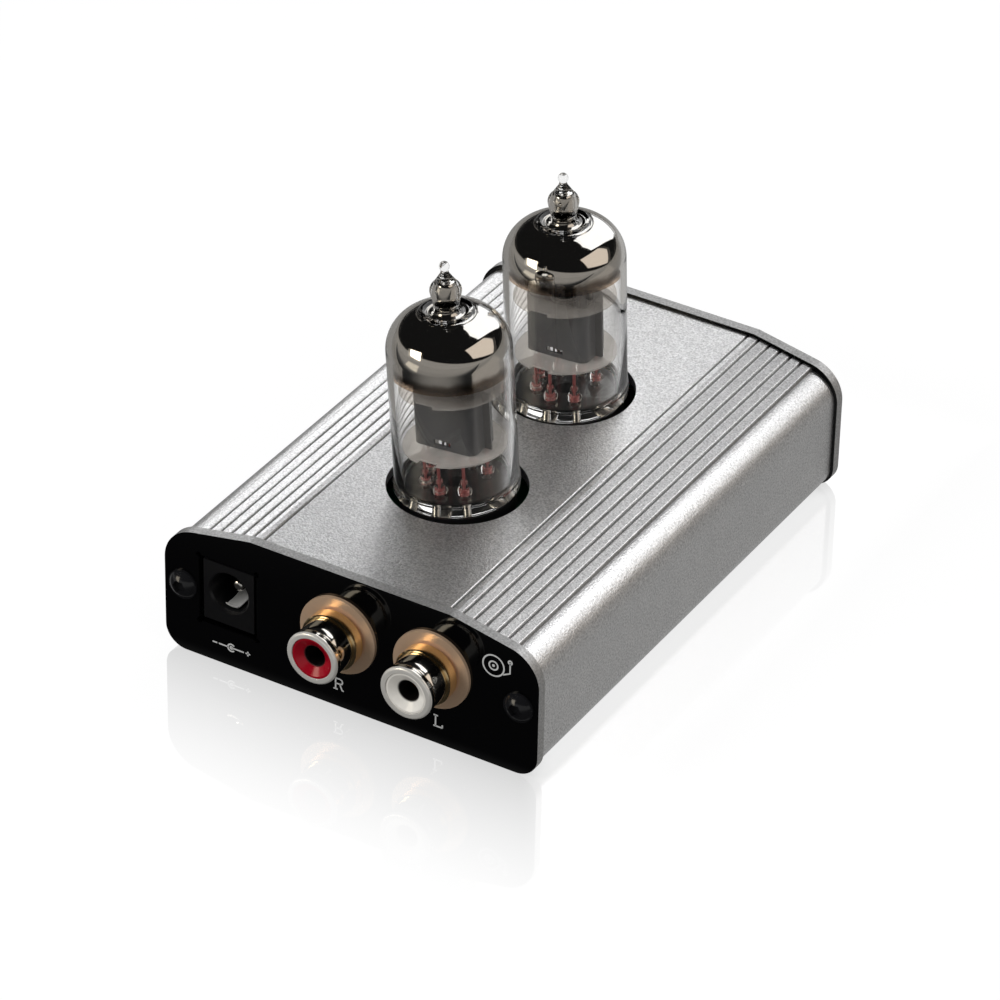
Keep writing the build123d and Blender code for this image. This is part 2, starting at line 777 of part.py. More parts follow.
def dome_point(radius_of_arc, angle):
    """A point of the dome's arc, from 0 at the side of the bulb to 90 degrees at the top."""
    centre = bulb_radius - dome_radius
    return centre + radius_of_arc * cos(radians(angle)), dome_start + radius_of_arc * sin(radians(angle))


def nipple_point(angle):
    """A point of the round shoulder above the widest part of the tip."""
    centre = nipple_belly[0] - nipple_shoulder_radius, nipple_belly[1]
    reach = nipple_shoulder_radius
    return centre[0] + reach * cos(radians(angle)), centre[1] + reach * sin(radians(angle))


def bulb_outside():
    """Outer line of the glass from the axis at the base to the tip."""
    rim = bulb_rim_radius
    round_off = bulb_rim_round
    bend = round_off * (1 - cos(pi / 4))
    crown = dome_point(dome_radius, dome_sweep)
    ball_centre = tip_height - tip_ball_radius
    joint = tip_joint_radius, ball_centre - sqrt(tip_ball_radius ** 2 - tip_joint_radius ** 2)
    edges = [line((0, 0), (rim - round_off, 0))]
    edges.append(arc((rim - round_off, 0), (rim - bend, bend), (rim, round_off)))
    edges.append(line((rim, round_off), (rim, bulb_rim_height)))
    fade_end = bulb_rim_height + bulb_rim_fade
    edges.append(line((rim, bulb_rim_height), (bulb_radius, fade_end)))
    edges.append(line((bulb_radius, fade_end), (bulb_radius, dome_start)))
    edges.append(arc((bulb_radius, dome_start), dome_point(dome_radius, dome_sweep / 2), crown))
    edges.append(arc(crown, crown_ring, moat_rim))
    edges.append(arc(moat_rim, moat_bottom, nipple_foot))
    edges.append(line(nipple_foot, nipple_belly))
    shoulder = [nipple_point(nipple_shoulder_sweep * share) for share in (0, 0.5, 1)]
    edges.append(arc(*shoulder))
    edges.append(line(shoulder[2], nipple_neck))
    edges.append(line(nipple_neck, joint))
    edges.append(arc(joint, (tip_ball_radius, ball_centre), (0, tip_height)))
    return edges


def dome_lining(gap):
    """Side, middle and crown of the dome's inner arc, drawn gap further in."""
    radius = dome_radius - bulb_wall - gap
    side = dome_point(radius, 0)
    crown = dome_point(radius, dome_sweep)
    return side, dome_point(radius, dome_sweep / 2), crown


def valve_glass():
    """Closed glass bulb on its pressed button, with holes for the pins."""
    button_top = bulb_rim_height
    side, middle, crown = dome_lining(0)
    peak = (0, nipple_bore_end[1])
    floor_edge = (side[0] - bulb_floor_fillet, button_top)
    wall_foot = (side[0], button_top + bulb_floor_fillet)
    inside = [line((0, button_top), floor_edge), line(floor_edge, wall_foot), line(wall_foot, side)]
    inside.append(arc(side, middle, crown))
    inside.append(line(crown, (nipple_bore[0], crown[1])))
    inside.append(line((nipple_bore[0], crown[1]), nipple_bore))
    inside.append(line(nipple_bore, nipple_bore_belly))
    inside += [line(nipple_bore_belly, nipple_bore_end), line(nipple_bore_end, peak)]
    inside.append(line(peak, (0, button_top)))
    glass = turned(bulb_outside() + [line((0, tip_height), (0, 0))]) - turned(inside)
    for x, y in pin_places():
        glass -= rod(pin_radius + jack_clearance, -1, button_top + 0.1, x, y)
    return glass


def valve_mirror(bottom):
    """Silvery film on the inside of the dome, down to a level edge."""
    outer = dome_lining(mirror_gap)
    inner = dome_lining(mirror_gap + mirror_thickness)
    film = [line((inner[0][0], bottom), (outer[0][0], bottom)), line((outer[0][0], bottom), outer[0])]
    film += [arc(*outer), line(outer[2], (mirror_hole_radius, outer[2][1]))]
    film.append(line((mirror_hole_radius, outer[2][1]), (mirror_hole_radius, inner[2][1])))
    film += [line((mirror_hole_radius, inner[2][1]), inner[2]), arc(*inner[::-1])]
    film.append(line(inner[0], (inner[0][0], bottom)))
    return turned(film)


def mica(height):
    """Toothed mica disc that steadies the electrodes in the bulb."""
    disc = rod(mica_radius, height, height + mica_thickness)
    notch_width, notch_depth = mica_notch
    for side in (-1, 1):
        rod_x = side * (anode_width / 2 - support_rod_inset)
        disc -= block(mica_slot, mica_slot, height - 1, height + 1, rod_x)
        disc -= block(notch_width, 2 * notch_depth, height - 1, height + 1, 0, side * mica_radius)
    return disc - rod(grid_radii[1] + mica_grid_gap, height - 1, height + 1)


def valve_anode():
    """Folded sheet box between the micas, with a crimped seam flange at each side and a small window."""
    low = mica_heights[0] + mica_thickness + electrode_gap
    high = mica_heights[1] - electrode_gap
    outer = rounded_box(anode_width, anode_depth, low, high, anode_corner)
    inner_size = anode_width - 2 * anode_wall, anode_depth - 2 * anode_wall
    box = outer - rounded_box(*inner_size, low - 1, high + 1, anode_corner - anode_wall)
    window_width, window_height = anode_window
    window_low = low + anode_window_rise
    for side in (-1, 1):
        flange_x = side * (anode_width / 2 + seam_flange / 2 - anode_wall / 2)
        box += block(seam_flange + anode_wall, anode_wall, low, high, flange_x)
        window_y = side * anode_depth / 2
        box -= block(window_width, 4 * anode_wall, window_low, window_low + window_height, 0, window_y)
    return box


def rounded_box(width, depth, low, high, radius):
    """An upright block with rounded vertical edges."""
    face = RectangleRounded(width, depth, radius)
    return Pos(0, 0, low) * extrude(face, amount=high - low)


def valve_electrodes():
    """Cathode sleeve, two ringed grids on their rods, and the getter ring above the upper mica."""
    low = mica_heights[0] - electrode_ends[0]
    high = mica_heights[1] + mica_thickness + electrode_ends[1]
    pieces = [rod(cathode_radius, low, high)]
    span = mica_heights[1] - mica_heights[0] - mica_thickness
    for grid_radius in grid_radii:
        rings = rod(grid_rod_radius, low, high, grid_radius) + rod(grid_rod_radius, low, high, -grid_radius)
        for turn in range(grid_turns):
            height = mica_heights[0] + mica_thickness + span * (turn + 0.5) / grid_turns
            rings += Pos(0, 0, height) * Torus(grid_radius, grid_wire_radius)
        pieces.append(rings)
    rod_x = anode_width / 2 - support_rod_inset
    for x in (-rod_x, rod_x):
        pieces.append(rod(support_rod_radius, low, high, x))
    ring = Pos(0, 0, getter_height) * Torus(getter_ring_radius, getter_wire_radius)
    post_foot = mica_heights[1] + mica_thickness + electrode_gap
    post = rod(getter_wire_radius, post_foot, getter_height, getter_ring_radius)
    pieces.append(ring + post)
    return pieces


def valve_pins():
    """Seven pins through the glass base, each with its lead up to the lower mica."""
    top = mica_heights[0] - 2 * electrode_gap
    pins = []
    for x, y in pin_places():
        pin = rod(pin_radius, -pin_length, bulb_rim_height + pin_stub, x, y)
        pin = fillet(pin.edges().filter_by(GeomType.CIRCLE).sort_by(Axis.Z)[:1], pin_round)
        pins.append(pin + rod(lead_radius, bulb_rim_height, top, x, y))
    return pins


def socket_body():
    """Black moulded socket, z = 0 on the board; its contacts carry it."""
    top = valve_seat_height - valve_seat_gap
    bottom = top - socket_body_height
    body = rod(socket_body_radius, bottom, top) + rod(socket_flange_radius, top - socket_flange_height, top)
    body -= rod(socket_centre_radius, bottom - 1, top + 1)
    for x, y in pin_places():
        body -= rod(contact_hole_radius, bottom - 1, top + 1, x, y)
    return body


def socket_contacts():
    """Seven sleeves that grip the pins, each on a leg through the board."""
    top = valve_seat_height - valve_seat_gap - contact_recess
    bottom = valve_seat_height - valve_seat_gap - socket_body_height
    outer = contact_hole_radius - contact_clearance
    well = top - pin_length - contact_well
    contacts = []
    for x, y in pin_places():
        contact = rod(outer, bottom, top, x, y) - rod(outer - contact_wall, well, top + 1, x, y)
        contact += rod(contact_leg_radius, -board_thickness - leg_below_board, bottom, x, y)
        contacts.append(contact)
    return contacts


for number, socket_y, lean, mirror_bottom in zip((1, 2), socket_ys, valve_leans, mirror_bottoms):
    socket_place = Pos(socket_x, socket_y, board_top) * Rot(0, -lean, 0)
    valve_place = socket_place * Pos(0, 0, valve_seat_height)
    keep(f"socket_{number}_body", socket_place * socket_body())
    keep(f"socket_{number}_contacts", *(socket_place * contact for contact in socket_contacts()))
    keep(f"valve_{number}_glass", valve_place * valve_glass())
    keep(f"valve_{number}_mirror", valve_place * valve_mirror(mirror_bottom))
    keep(f"valve_{number}_micas", *(valve_place * mica(height) for height in mica_heights))
    keep(f"valve_{number}_anode", valve_place * valve_anode())
    keep(f"valve_{number}_electrodes", *(valve_place * piece for piece in valve_electrodes()))
    keep(f"valve_{number}_pins", *(valve_place * pin for pin in valve_pins()))


# ---------------------------------------------------------------- board and the parts on it
def build_board():
    """Circuit board with a clearance hole for each socket leg."""
    board = block(2 * board_half_width, 2 * board_half_length, board_bottom_z, board_top)
    for socket_y, lean in zip(socket_ys, valve_leans):
        place = Pos(socket_x, socket_y, board_top) * Rot(0, -lean, 0)
        for x, y in pin_places():
            board -= place * rod(leg_hole_radius, -2 * board_thickness, board_thickness, x, y)
    return board


def electrolytic_places():
    """Two rows of capacitors along the sides of the board."""
    for side, count in zip((-1, 1), electrolytic_counts):
        for i in range(count):
            x = side * (case_half_width - electrolytic_from_side)
            yield x, electrolytic_first_y + i * electrolytic_pitch


def film_places():
    """Film capacitors on the right of the board."""
    for y in film_ys:
        yield case_half_width - film_from_side, y
    yield case_half_width - film_rear[0], case_half_length - film_rear[1]


def resistor_places():
    """A row of resistors on the left and a pair behind the output jacks."""
    for y in resistor_ys:
        yield resistor_from_side - case_half_width, y
    for x in resistor_front_xs:
        yield x, resistor_front_gap - case_half_length


def electrolytic(place):
    """Upright electrolytic capacitor with a crimped waist."""
    start = board_top + seat_gap
    radius = electrolytic_radius
    can = rod(radius, start, start + electrolytic_height)
    can = fillet(can.edges().filter_by(GeomType.CIRCLE), electrolytic_round)
    crimp_height, crimp_outside, crimp_radius = electrolytic_crimp
    crimp = Pos(0, 0, start + crimp_height) * Torus(radius + crimp_outside, crimp_radius)
    return Pos(*place, 0) * (can - crimp)


def film_capacitor(place):
    """Boxed film capacitor."""
    width, length, height = film_size
    box = block(width, length, board_top + seat_gap, board_top + height)
    return Pos(*place, 0) * fillet(box.edges().filter_by(Axis.Z), film_round)


def resistor(place):
    """Axial resistor lying along Y on its two bent leads."""
    height = board_top + resistor_radius + resistor_lift
    half = resistor_lead_span / 2
    body = Rot(90, 0, 0) * Cylinder(resistor_radius, resistor_length)
    body = Pos(0, 0, height) * fillet(body.edges().filter_by(GeomType.CIRCLE), resistor_round)
    foot = board_top + seat_gap
    points = [(0, -half, foot), (0, -half, height), (0, half, height), (0, half, foot)]
    return Pos(*place, 0) * (body + wire_along(points, resistor_lead_radius, resistor_lead_bend))


def build_inductor():
    """Ring core choke standing flat on the board."""
    start = board_top + seat_gap
    place = inductor_place[0] - case_half_width, case_half_length - inductor_place[1]
    ring = tube(inductor_radius, inductor_hole_radius, start, start + inductor_height, *place)
    return fillet(ring.edges().filter_by(GeomType.CIRCLE), inductor_round)


def build_chip():
    """Eight-legged step-up converter chip."""
    width, length, height = chip_size
    x, y = chip_place[0] - case_half_width, case_half_length - chip_place[1]
    body = block(width, length, board_top + chip_lift, board_top + height, x, y)
    leg_width, leg_thickness = chip_leg
    for side in (-1, 1):
        for i in range(4):
            leg_y = y + (i - 1.5) * chip_leg_pitch
            leg_x = x + side * (width / 2 + leg_thickness / 2)
            leg_top = board_top + height / 2
            body += block(leg_thickness, leg_width, board_top + seat_gap, leg_top, leg_x, leg_y)
    return body


def jack_lead():
    """Tinned wire from a jack's centre tail straight down to the board; z = 0 is the plate's face."""
    length = jack_z + jack_tail_radius - board_top - seat_gap
    behind_tail = -jack_stem_length - jack_tail_length - lead_wire_radius - seat_gap
    return Pos(0, jack_tail_radius, behind_tail) * Rot(90, 0, 0) * rod(lead_wire_radius, 0, length)


keep("circuit_board", build_board())
keep("electrolytic_capacitors", *(electrolytic(place) for place in electrolytic_places()))
keep("film_capacitors", *(film_capacitor(place) for place in film_places()))
keep("resistors", *(resistor(place) for place in resistor_places()))
keep("choke", build_inductor())
keep("converter_chip", build_chip())
keep("jack_leads", *(place * jack_lead() for place in jack_places))

os.makedirs("parts", exist_ok=True)
for name, shape in nodes.items():
    export_step(shape, f"parts/{name}.step")
print(len(nodes), "nodes")
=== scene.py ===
"""Dressed view of the phono preamplifier: finishes, fine visible pieces, stage, lamps and camera.

Lengths are in millimetres until MM turns them into metres.
"""
import math

import bmesh
import bpy
from mathutils import Matrix, Vector


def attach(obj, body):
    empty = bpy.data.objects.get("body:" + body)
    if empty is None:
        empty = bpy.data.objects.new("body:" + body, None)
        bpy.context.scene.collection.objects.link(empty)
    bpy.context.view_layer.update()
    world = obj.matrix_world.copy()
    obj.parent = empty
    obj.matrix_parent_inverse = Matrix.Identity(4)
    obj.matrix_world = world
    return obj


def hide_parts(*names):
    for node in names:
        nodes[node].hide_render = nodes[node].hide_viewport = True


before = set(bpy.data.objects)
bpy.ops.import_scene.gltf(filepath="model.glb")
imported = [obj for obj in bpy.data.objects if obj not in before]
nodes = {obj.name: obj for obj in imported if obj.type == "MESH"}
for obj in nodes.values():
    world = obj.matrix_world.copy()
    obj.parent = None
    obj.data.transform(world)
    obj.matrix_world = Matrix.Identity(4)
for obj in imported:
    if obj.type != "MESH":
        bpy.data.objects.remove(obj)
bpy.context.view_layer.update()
scene = bpy.context.scene

MM = 0.001
JACK_Z = 12.94  # height of the jacks' axes
PLATE_Y = 45.7  # from the middle of the case to the outer face of an end plate


# ---------------------------------------------------------------- node helpers
class Graph:
    """A node tree with short calls to add and join nodes."""

    def __init__(self, tree):
        self.tree = tree
        tree.nodes.clear()

    def add(self, kind, inputs=None, **settings):
        node = self.tree.nodes.new(kind)
        for key, value in settings.items():
            setattr(node, key, value)
        for key, value in (inputs or {}).items():
            if isinstance(value, bpy.types.NodeSocket):
                self.tree.links.new(value, node.inputs[key])
            else:
                node.inputs[key].default_value = value
        return node

    def math(self, operation, a, b=0.0):
        return self.add("ShaderNodeMath", {0: a, 1: b}, operation=operation).outputs[0]

    def step(self, value, low, high, smooth=True):
        """0 below low, 1 above high."""
        kind = "SMOOTHSTEP" if smooth else "LINEAR"
        given = {"Value": value, "From Min": low, "From Max": high, "To Min": 0.0, "To Max": 1.0}
        return self.add("ShaderNodeMapRange", given, interpolation_type=kind).outputs["Result"]

    def scale(self, value, low, high):
        """0..1 to low..high."""
        given = {"Value": value, "From Min": 0.0, "From Max": 1.0, "To Min": low, "To Max": high}
        return self.add("ShaderNodeMapRange", given).outputs["Result"]

    def noise(self, place, scale, detail=2.0, roughness=0.5):
        given = {"Vector": place, "Scale": scale, "Detail": detail, "Roughness": roughness}
        return self.add("ShaderNodeTexNoise", given).outputs["Fac"]

    def place(self):
        return self.add("ShaderNodeTexCoord").outputs["Object"]

    def split(self, vector):
        return self.add("ShaderNodeSeparateXYZ", {0: vector}).outputs

    def mix_colour(self, factor, a, b):
        node = self.add("ShaderNodeMix", data_type="RGBA")
        for socket, value in ((node.inputs["Factor"], factor), (node.inputs[6], a), (node.inputs[7], b)):
            if isinstance(value, bpy.types.NodeSocket):
                self.tree.links.new(value, socket)
            else:
                socket.default_value = value
        return node.outputs[2]

    def bump(self, height, strength, depth):
        """Relief of a depth in mm."""
        given = {"Height": height, "Strength": strength, "Distance": depth * MM}
        return self.add("ShaderNodeBump", given).outputs[0]

    def principled(self, given):
        return self.add("ShaderNodeBsdfPrincipled", given).outputs[0]

    def clear(self, colour):
        return self.add("ShaderNodeBsdfTransparent", {"Color": colour}).outputs[0]

    def emission(self, colour, strength=1.0):
        return self.add("ShaderNodeEmission", {"Color": colour, "Strength": strength}).outputs[0]

    def mix_shader(self, factor, a, b):
        return self.add("ShaderNodeMixShader", {0: factor, 1: a, 2: b}).outputs[0]

    def finish(self, shader, kind="ShaderNodeOutputMaterial"):
        self.add(kind, {"Surface": shader})


def rgba(colour, gain=1.0):
    return (colour[0] * gain, colour[1] * gain, colour[2] * gain, 1.0)


def new_graph(name):
    material = bpy.data.materials.new(name)
    material.use_nodes = True
    return material, Graph(material.node_tree)


# ---------------------------------------------------------------- finishes
DRIFT_SCALE = 300.0
ROUGHNESS_DRIFT = 0.15


def finish_of(name, colour, rough, metallic, vary, grain):
    """A finish whose colour and roughness drift; grain is its scale, strength and depth in mm."""
    material, g = new_graph(name)
    grain_scale, grain_strength, grain_depth = grain
    place = g.place()
    broad = g.noise(place, DRIFT_SCALE, 3.0)
    fine = g.noise(place, grain_scale, 2.0)
    both = g.math("ADD", g.math("MULTIPLY", broad, 0.5), g.math("MULTIPLY", fine, 0.5))
    base = g.mix_colour(both, rgba(colour, 1.0 - vary), rgba(colour, 1.0 + vary))
    bump = g.bump(fine, grain_strength, grain_depth)
    uneven = g.scale(broad, rough * (1 - ROUGHNESS_DRIFT), rough * (1 + ROUGHNESS_DRIFT))
    g.finish(g.principled({"Base Color": base, "Roughness": uneven, "Metallic": metallic, "Normal": bump}))
    return material


LID_TOP = 22.8
FACET_START = 17.0
FACET_END = 27.7
FACET_SLOPE = 0.1944
GROOVE_DEPTHS = (0.06, 0.30)
# strength of the painted shade that darkens the grooves
GROOVE_SHADE = 0.48


def groove_shade_mask(g, place):
    """Where painted shade goes: 1 in the grooves of the lid's slanted facets, told by how far they lie below
    the facet's plane.
    """
    where = g.split(place)
    out = g.math("ABSOLUTE", where["X"])
    along = g.math("MAXIMUM", g.math("SUBTRACT", out, FACET_START * MM), 0.0)
    fall = g.math("MULTIPLY", along, FACET_SLOPE)
    sunk = g.math("SUBTRACT", g.math("SUBTRACT", LID_TOP * MM, fall), where["Z"])
    deep = g.step(sunk, GROOVE_DEPTHS[0] * MM, GROOVE_DEPTHS[1] * MM)
    return g.math("MULTIPLY", deep, g.math("LESS_THAN", out, FACET_END * MM))


def case_finish():
    """Sandblasted aluminium: a speckled colour, a fine dimpled relief and painted shade in the grooves."""
    material, g = new_graph("sandblasted_aluminium")
    place = g.place()
    speck = g.noise(place, 3400.0, 1.0, 0.6)
    blot = g.noise(place, 260.0, 3.0)
    speck = g.step(speck, 0.30, 0.70, smooth=False)
    tone = g.math("ADD", g.math("MULTIPLY", speck, 0.8), g.math("MULTIPLY", blot, 0.2))
    base = g.mix_colour(tone, (0.50, 0.50, 0.505, 1), (0.98, 0.98, 0.985, 1))
    # painted shade: the grooves' colour is darkened to stand in for the shadow in them
    groove_shade = g.math("MULTIPLY", groove_shade_mask(g, place), GROOVE_SHADE)
    base = g.mix_colour(groove_shade, base, (0.16, 0.16, 0.165, 1))
    given = {"Base Color": base, "Roughness": g.scale(blot, 0.33, 0.39), "Metallic": 0.9,
             "Normal": g.bump(speck, 0.6, 0.04)}
    g.finish(g.principled(given))
    return material


BARE_EDGE_X = 30.2
BARE_EDGE_TOP = 18.6
BARE_EDGE_BOTTOM = 2.5


def plate_finish():
    """Gloss black faces; the outer edge is bare satin aluminium."""
    material, g = new_graph("plate_gloss_and_bare_edge")
    coords = g.add("ShaderNodeTexCoord")
    place = coords.outputs["Object"]
    facing = g.split(coords.outputs["Normal"])
    where = g.split(place)
    sideways = g.math("LESS_THAN", g.math("ABSOLUTE", facing["Y"]), 0.6)
    off_centre = g.math("GREATER_THAN", g.math("ABSOLUTE", where["X"]), BARE_EDGE_X * MM)
    high = g.math("GREATER_THAN", where["Z"], BARE_EDGE_TOP * MM)
    low = g.math("LESS_THAN", where["Z"], BARE_EDGE_BOTTOM * MM)
    outside = g.math("MAXIMUM", off_centre, g.math("MAXIMUM", high, low))
    edge = g.math("MULTIPLY", sideways, outside)
    fine = g.noise(place, 3000.0)
    speck = g.step(fine, 0.3, 0.7, smooth=False)
    silver = g.mix_colour(speck, (0.36, 0.36, 0.36, 1), (0.62, 0.62, 0.62, 1))
    base = g.mix_colour(edge, (0.0025, 0.0025, 0.003, 1), silver)
    bump = g.bump(fine, g.scale(edge, 0.01, 0.4), 0.02)
    given = {"Base Color": base, "Roughness": g.scale(edge, 0.045, 0.5), "Metallic": g.scale(edge, 0.0, 0.85),
             "Specular IOR Level": 0.32, "Normal": bump}
    g.finish(g.principled(given))
    return material


SATIN_LIP_Y = (52.72, 52.86)


def shell_finish():
    """Bright nickel barrel; the front of the rolled lip is satin."""
    material, g = new_graph("bright_nickel_with_satin_lip")
    place = g.place()
    where = g.split(place)
    fine = g.noise(place, 1200.0)
    lip = g.step(g.math("ABSOLUTE", where["Y"]), SATIN_LIP_Y[0] * MM, SATIN_LIP_Y[1] * MM)
    base = g.mix_colour(fine, (0.88, 0.85, 0.79, 1), (0.98, 0.95, 0.89, 1))
    given = {"Base Color": base, "Roughness": g.scale(lip, 0.10, 0.24), "Metallic": g.scale(lip, 1.0, 0.55),
             "Normal": g.bump(fine, 0.04, 0.01)}
    g.finish(g.principled(given))
    return material


PLUG_WAY_SHADE_RADII = (1.66, 1.95)


def insert_finish(name, colour, centre_x):
    """Coloured moulding; the plug's way inside it is painted near-black as painted shade."""
    material, g = new_graph(name)
    place = g.place()
    where = g.split(place)
    fine = g.noise(place, 1500.0)
    off_x = g.math("SUBTRACT", where["X"], centre_x * MM)
    off_z = g.math("SUBTRACT", where["Z"], JACK_Z * MM)
    squares = g.math("ADD", g.math("MULTIPLY", off_x, off_x), g.math("MULTIPLY", off_z, off_z))
    off = g.math("SQRT", squares)
    face_outside_painted_shade = g.step(off, PLUG_WAY_SHADE_RADII[0] * MM, PLUG_WAY_SHADE_RADII[1] * MM)
    tint = g.mix_colour(fine, rgba(colour, 0.95), rgba(colour, 1.05))
    # painted shade: the plug's way is coloured near-black for the shadow inside the hole
    base = g.mix_colour(face_outside_painted_shade, (0.004, 0.003, 0.003, 1), tint)
    given = {"Base Color": base, "Roughness": g.scale(face_outside_painted_shade, 0.6, 0.2),
             "Normal": g.bump(fine, 0.05, 0.01)}
    g.finish(g.principled(given))
    return material


GLASS_TINT = (0.985, 0.985, 0.98)


def glass_finish():
    """Clear glass; lamp light passes through it without a dark shadow."""
    material, g = new_graph("bulb_glass")
    wave = g.noise(g.place(), 120.0)
    glass = g.principled({"Base Color": rgba(GLASS_TINT), "Roughness": 0.012, "IOR": 1.5,
                          "Transmission Weight": 1.0, "Normal": g.bump(wave, 0.02, 0.05)})
    clear = g.clear(rgba(GLASS_TINT))
    path = g.add("ShaderNodeLightPath").outputs
    passing = g.math("MAXIMUM", path["Is Shadow Ray"], path["Is Diffuse Ray"])
    g.finish(g.mix_shader(passing, glass, clear))
    return material


COPPER_START_Z = (23.9, 24.4)


def lead_finish():
    """Tinned pins whose leads turn copper red above the glass base."""
    material, g = new_graph("pin_and_copper_lead")
    place = g.place()
    fine = g.noise(place, 1500.0)
    high = g.step(g.split(place)["Z"], COPPER_START_Z[0] * MM, COPPER_START_Z[1] * MM)
    copper = g.mix_colour(fine, (0.30, 0.07, 0.07, 1), (0.42, 0.14, 0.13, 1))
    base = g.mix_colour(high, (0.72, 0.71, 0.68, 1), copper)
    given = {"Base Color": base, "Roughness": 0.3, "Metallic": g.scale(high, 1.0, 0.35),
             "Normal": g.bump(fine, 0.1, 0.01)}
    g.finish(g.principled(given))
    return material


MICA_SPAN_Z = (32.0, 40.0)


def mica_finish():
    """Split mica: the lower sheets are whiter, the upper ones almost clear."""
    material, g = new_graph("split_mica")
    place = g.place()
    flake = g.noise(place, 500.0, 3.0)
    pale = g.mix_colour(flake, (0.60, 0.56, 0.53, 1), (0.72, 0.69, 0.66, 1))
    sheet = g.principled({"Base Color": pale, "Roughness": 0.2})
    clear = g.clear((0.95, 0.93, 0.90, 1))
    upper = g.step(g.split(place)["Z"], MICA_SPAN_Z[0] * MM, MICA_SPAN_Z[1] * MM)
    cover = g.math("ADD", g.scale(upper, 0.34, 0.15), g.math("MULTIPLY", flake, 0.16))
    g.finish(g.mix_shader(cover, clear, sheet))
    return material


def film_finish():
    """Silvery getter film that turns brown and then clear towards its lower edge."""
    material, g = new_graph("getter_film")
    cloud = g.noise(g.place(), 500.0, 3.0)
    depth = g.add("ShaderNodeAttribute", attribute_name="film").outputs["Fac"]
    depth = g.math("ADD", depth, g.math("MULTIPLY", g.math("SUBTRACT", cloud, 0.5), 0.25))
    silver = g.step(depth, 0.30, 0.60)
    cover = g.step(depth, 0.02, 0.34)
    colour = g.mix_colour(silver, (0.13, 0.09, 0.06, 1), (0.76, 0.735, 0.70, 1))
    metal = g.principled({"Base Color": colour, "Roughness": g.scale(silver, 0.12, 0.02), "Metallic": 1.0})
    clear = g.clear((0.75, 0.66, 0.58, 1))
    g.finish(g.mix_shader(cover, clear, metal))
    return material


# slot: name, colour, roughness, metallic, drift of the colour, grain
PLAIN_FINISHES = {
    "screw_black": ("black_screw_steel", (0.008, 0.008, 0.009), 0.14, 0.0, 0.06, (1800.0, 0.1, 0.01)),
    "nickel": ("bright_nickel", (0.90, 0.87, 0.82), 0.09, 1.0, 0.03, (700.0, 0.05, 0.01)),
    "gilt": ("bright_gilt", (0.95, 0.70, 0.38), 0.16, 1.0, 0.04, (900.0, 0.06, 0.01)),
    "champagne": ("satin_champagne", (0.80, 0.56, 0.38), 0.30, 0.55, 0.06, (2400.0, 0.2, 0.015)),
    "fibre": ("brown_fibre", (0.22, 0.12, 0.06), 0.7, 0.0, 0.2, (2200.0, 0.3, 0.02)),
    "tinned": ("tinned_metal", (0.72, 0.71, 0.68), 0.28, 1.0, 0.08, (1500.0, 0.2, 0.01)),
    "black_moulding": ("black_moulding", (0.005, 0.005, 0.0055), 0.30, 0.0, 0.2, (2600.0, 0.2, 0.01)),
    "anode_grey": ("grey_anode", (0.11, 0.11, 0.113), 0.40, 0.45, 0.15, (1800.0, 0.15, 0.01)),
    "board_green": ("board_mask", (0.012, 0.09, 0.035), 0.35, 0.0, 0.2, (900.0, 0.2, 0.02)),
    "can_sleeve": ("can_sleeve", (0.02, 0.022, 0.03), 0.3, 0.0, 0.15, (1200.0, 0.1, 0.01)),
    "film_red": ("film_coating", (0.32, 0.04, 0.02), 0.25, 0.0, 0.1, (900.0, 0.2, 0.02)),
    "resistor_blue": ("resistor_coating", (0.16, 0.30, 0.42), 0.4, 0.0, 0.1, (1500.0, 0.1, 0.01)),
    "ferrite": ("ferrite", (0.03, 0.028, 0.028), 0.6, 0.0, 0.2, (1500.0, 0.3, 0.02)),
}
finishes = {"case_aluminium": case_finish(), "plate_black": plate_finish()}
for slot_name, finish_row in PLAIN_FINISHES.items():
    finishes[slot_name] = finish_of(*finish_row)
finishes["clear_glass"] = glass_finish()
finishes["mica"] = mica_finish()
finishes["getter_mirror"] = film_finish()

RED = (0.30, 0.001, 0.01)
WHITE = (0.78, 0.75, 0.69)
# jack: place across the plate, colour of its insert
JACKS = {
    "output_right": (-1.6, RED),
    "output_left": (14.3, WHITE),
    "input_right": (-2.863, RED),
    "input_left": (-17.707, WHITE),
}
special = {}
shell_metal = shell_finish()
for jack, (jack_x, jack_colour) in JACKS.items():
    special[f"{jack}_jack_insert"] = insert_finish(f"{jack}_moulding", jack_colour, jack_x)
    special[f"{jack}_jack_shell"] = shell_metal
lead_metal = lead_finish()
# electrode wire, painted darker than nickel as painted shade inside the anode
shade_darkened_wire = finish_of("shade_darkened_wire", (0.35, 0.34, 0.33), 0.35, 1.0, 0.15, (1500.0, 0.1, 0.01))
for number in (1, 2):
    special[f"valve_{number}_pins"] = lead_metal
    special[f"valve_{number}_electrodes"] = shade_darkened_wire
for name, node in nodes.items():
    for slot in node.material_slots:
        slot.material = special.get(name) or finishes[slot.material.name]


# ---------------------------------------------------------------- mesh helpers
ON_AXIS = 1e-6


def add_object(name, mesh, material, body=None):
    made = bpy.data.objects.new(name, mesh)
    scene.collection.objects.link(made)
    mesh.materials.append(material)
    if body:
        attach(made, body)
    return made


def smooth_mesh(mesh, angle=40.0, turn_out=True):
    """Smooth faces, with the edges sharper than the angle left sharp."""
    shaped = bmesh.new()
    shaped.from_mesh(mesh)
    if turn_out:
        bmesh.ops.recalc_face_normals(shaped, faces=shaped.faces)
    for face in shaped.faces:
        face.smooth = True
    for edge in shaped.edges:
        if len(edge.link_faces) == 2 and edge.calc_face_angle() > math.radians(angle):
            edge.smooth = False
    shaped.to_mesh(mesh)
    shaped.free()


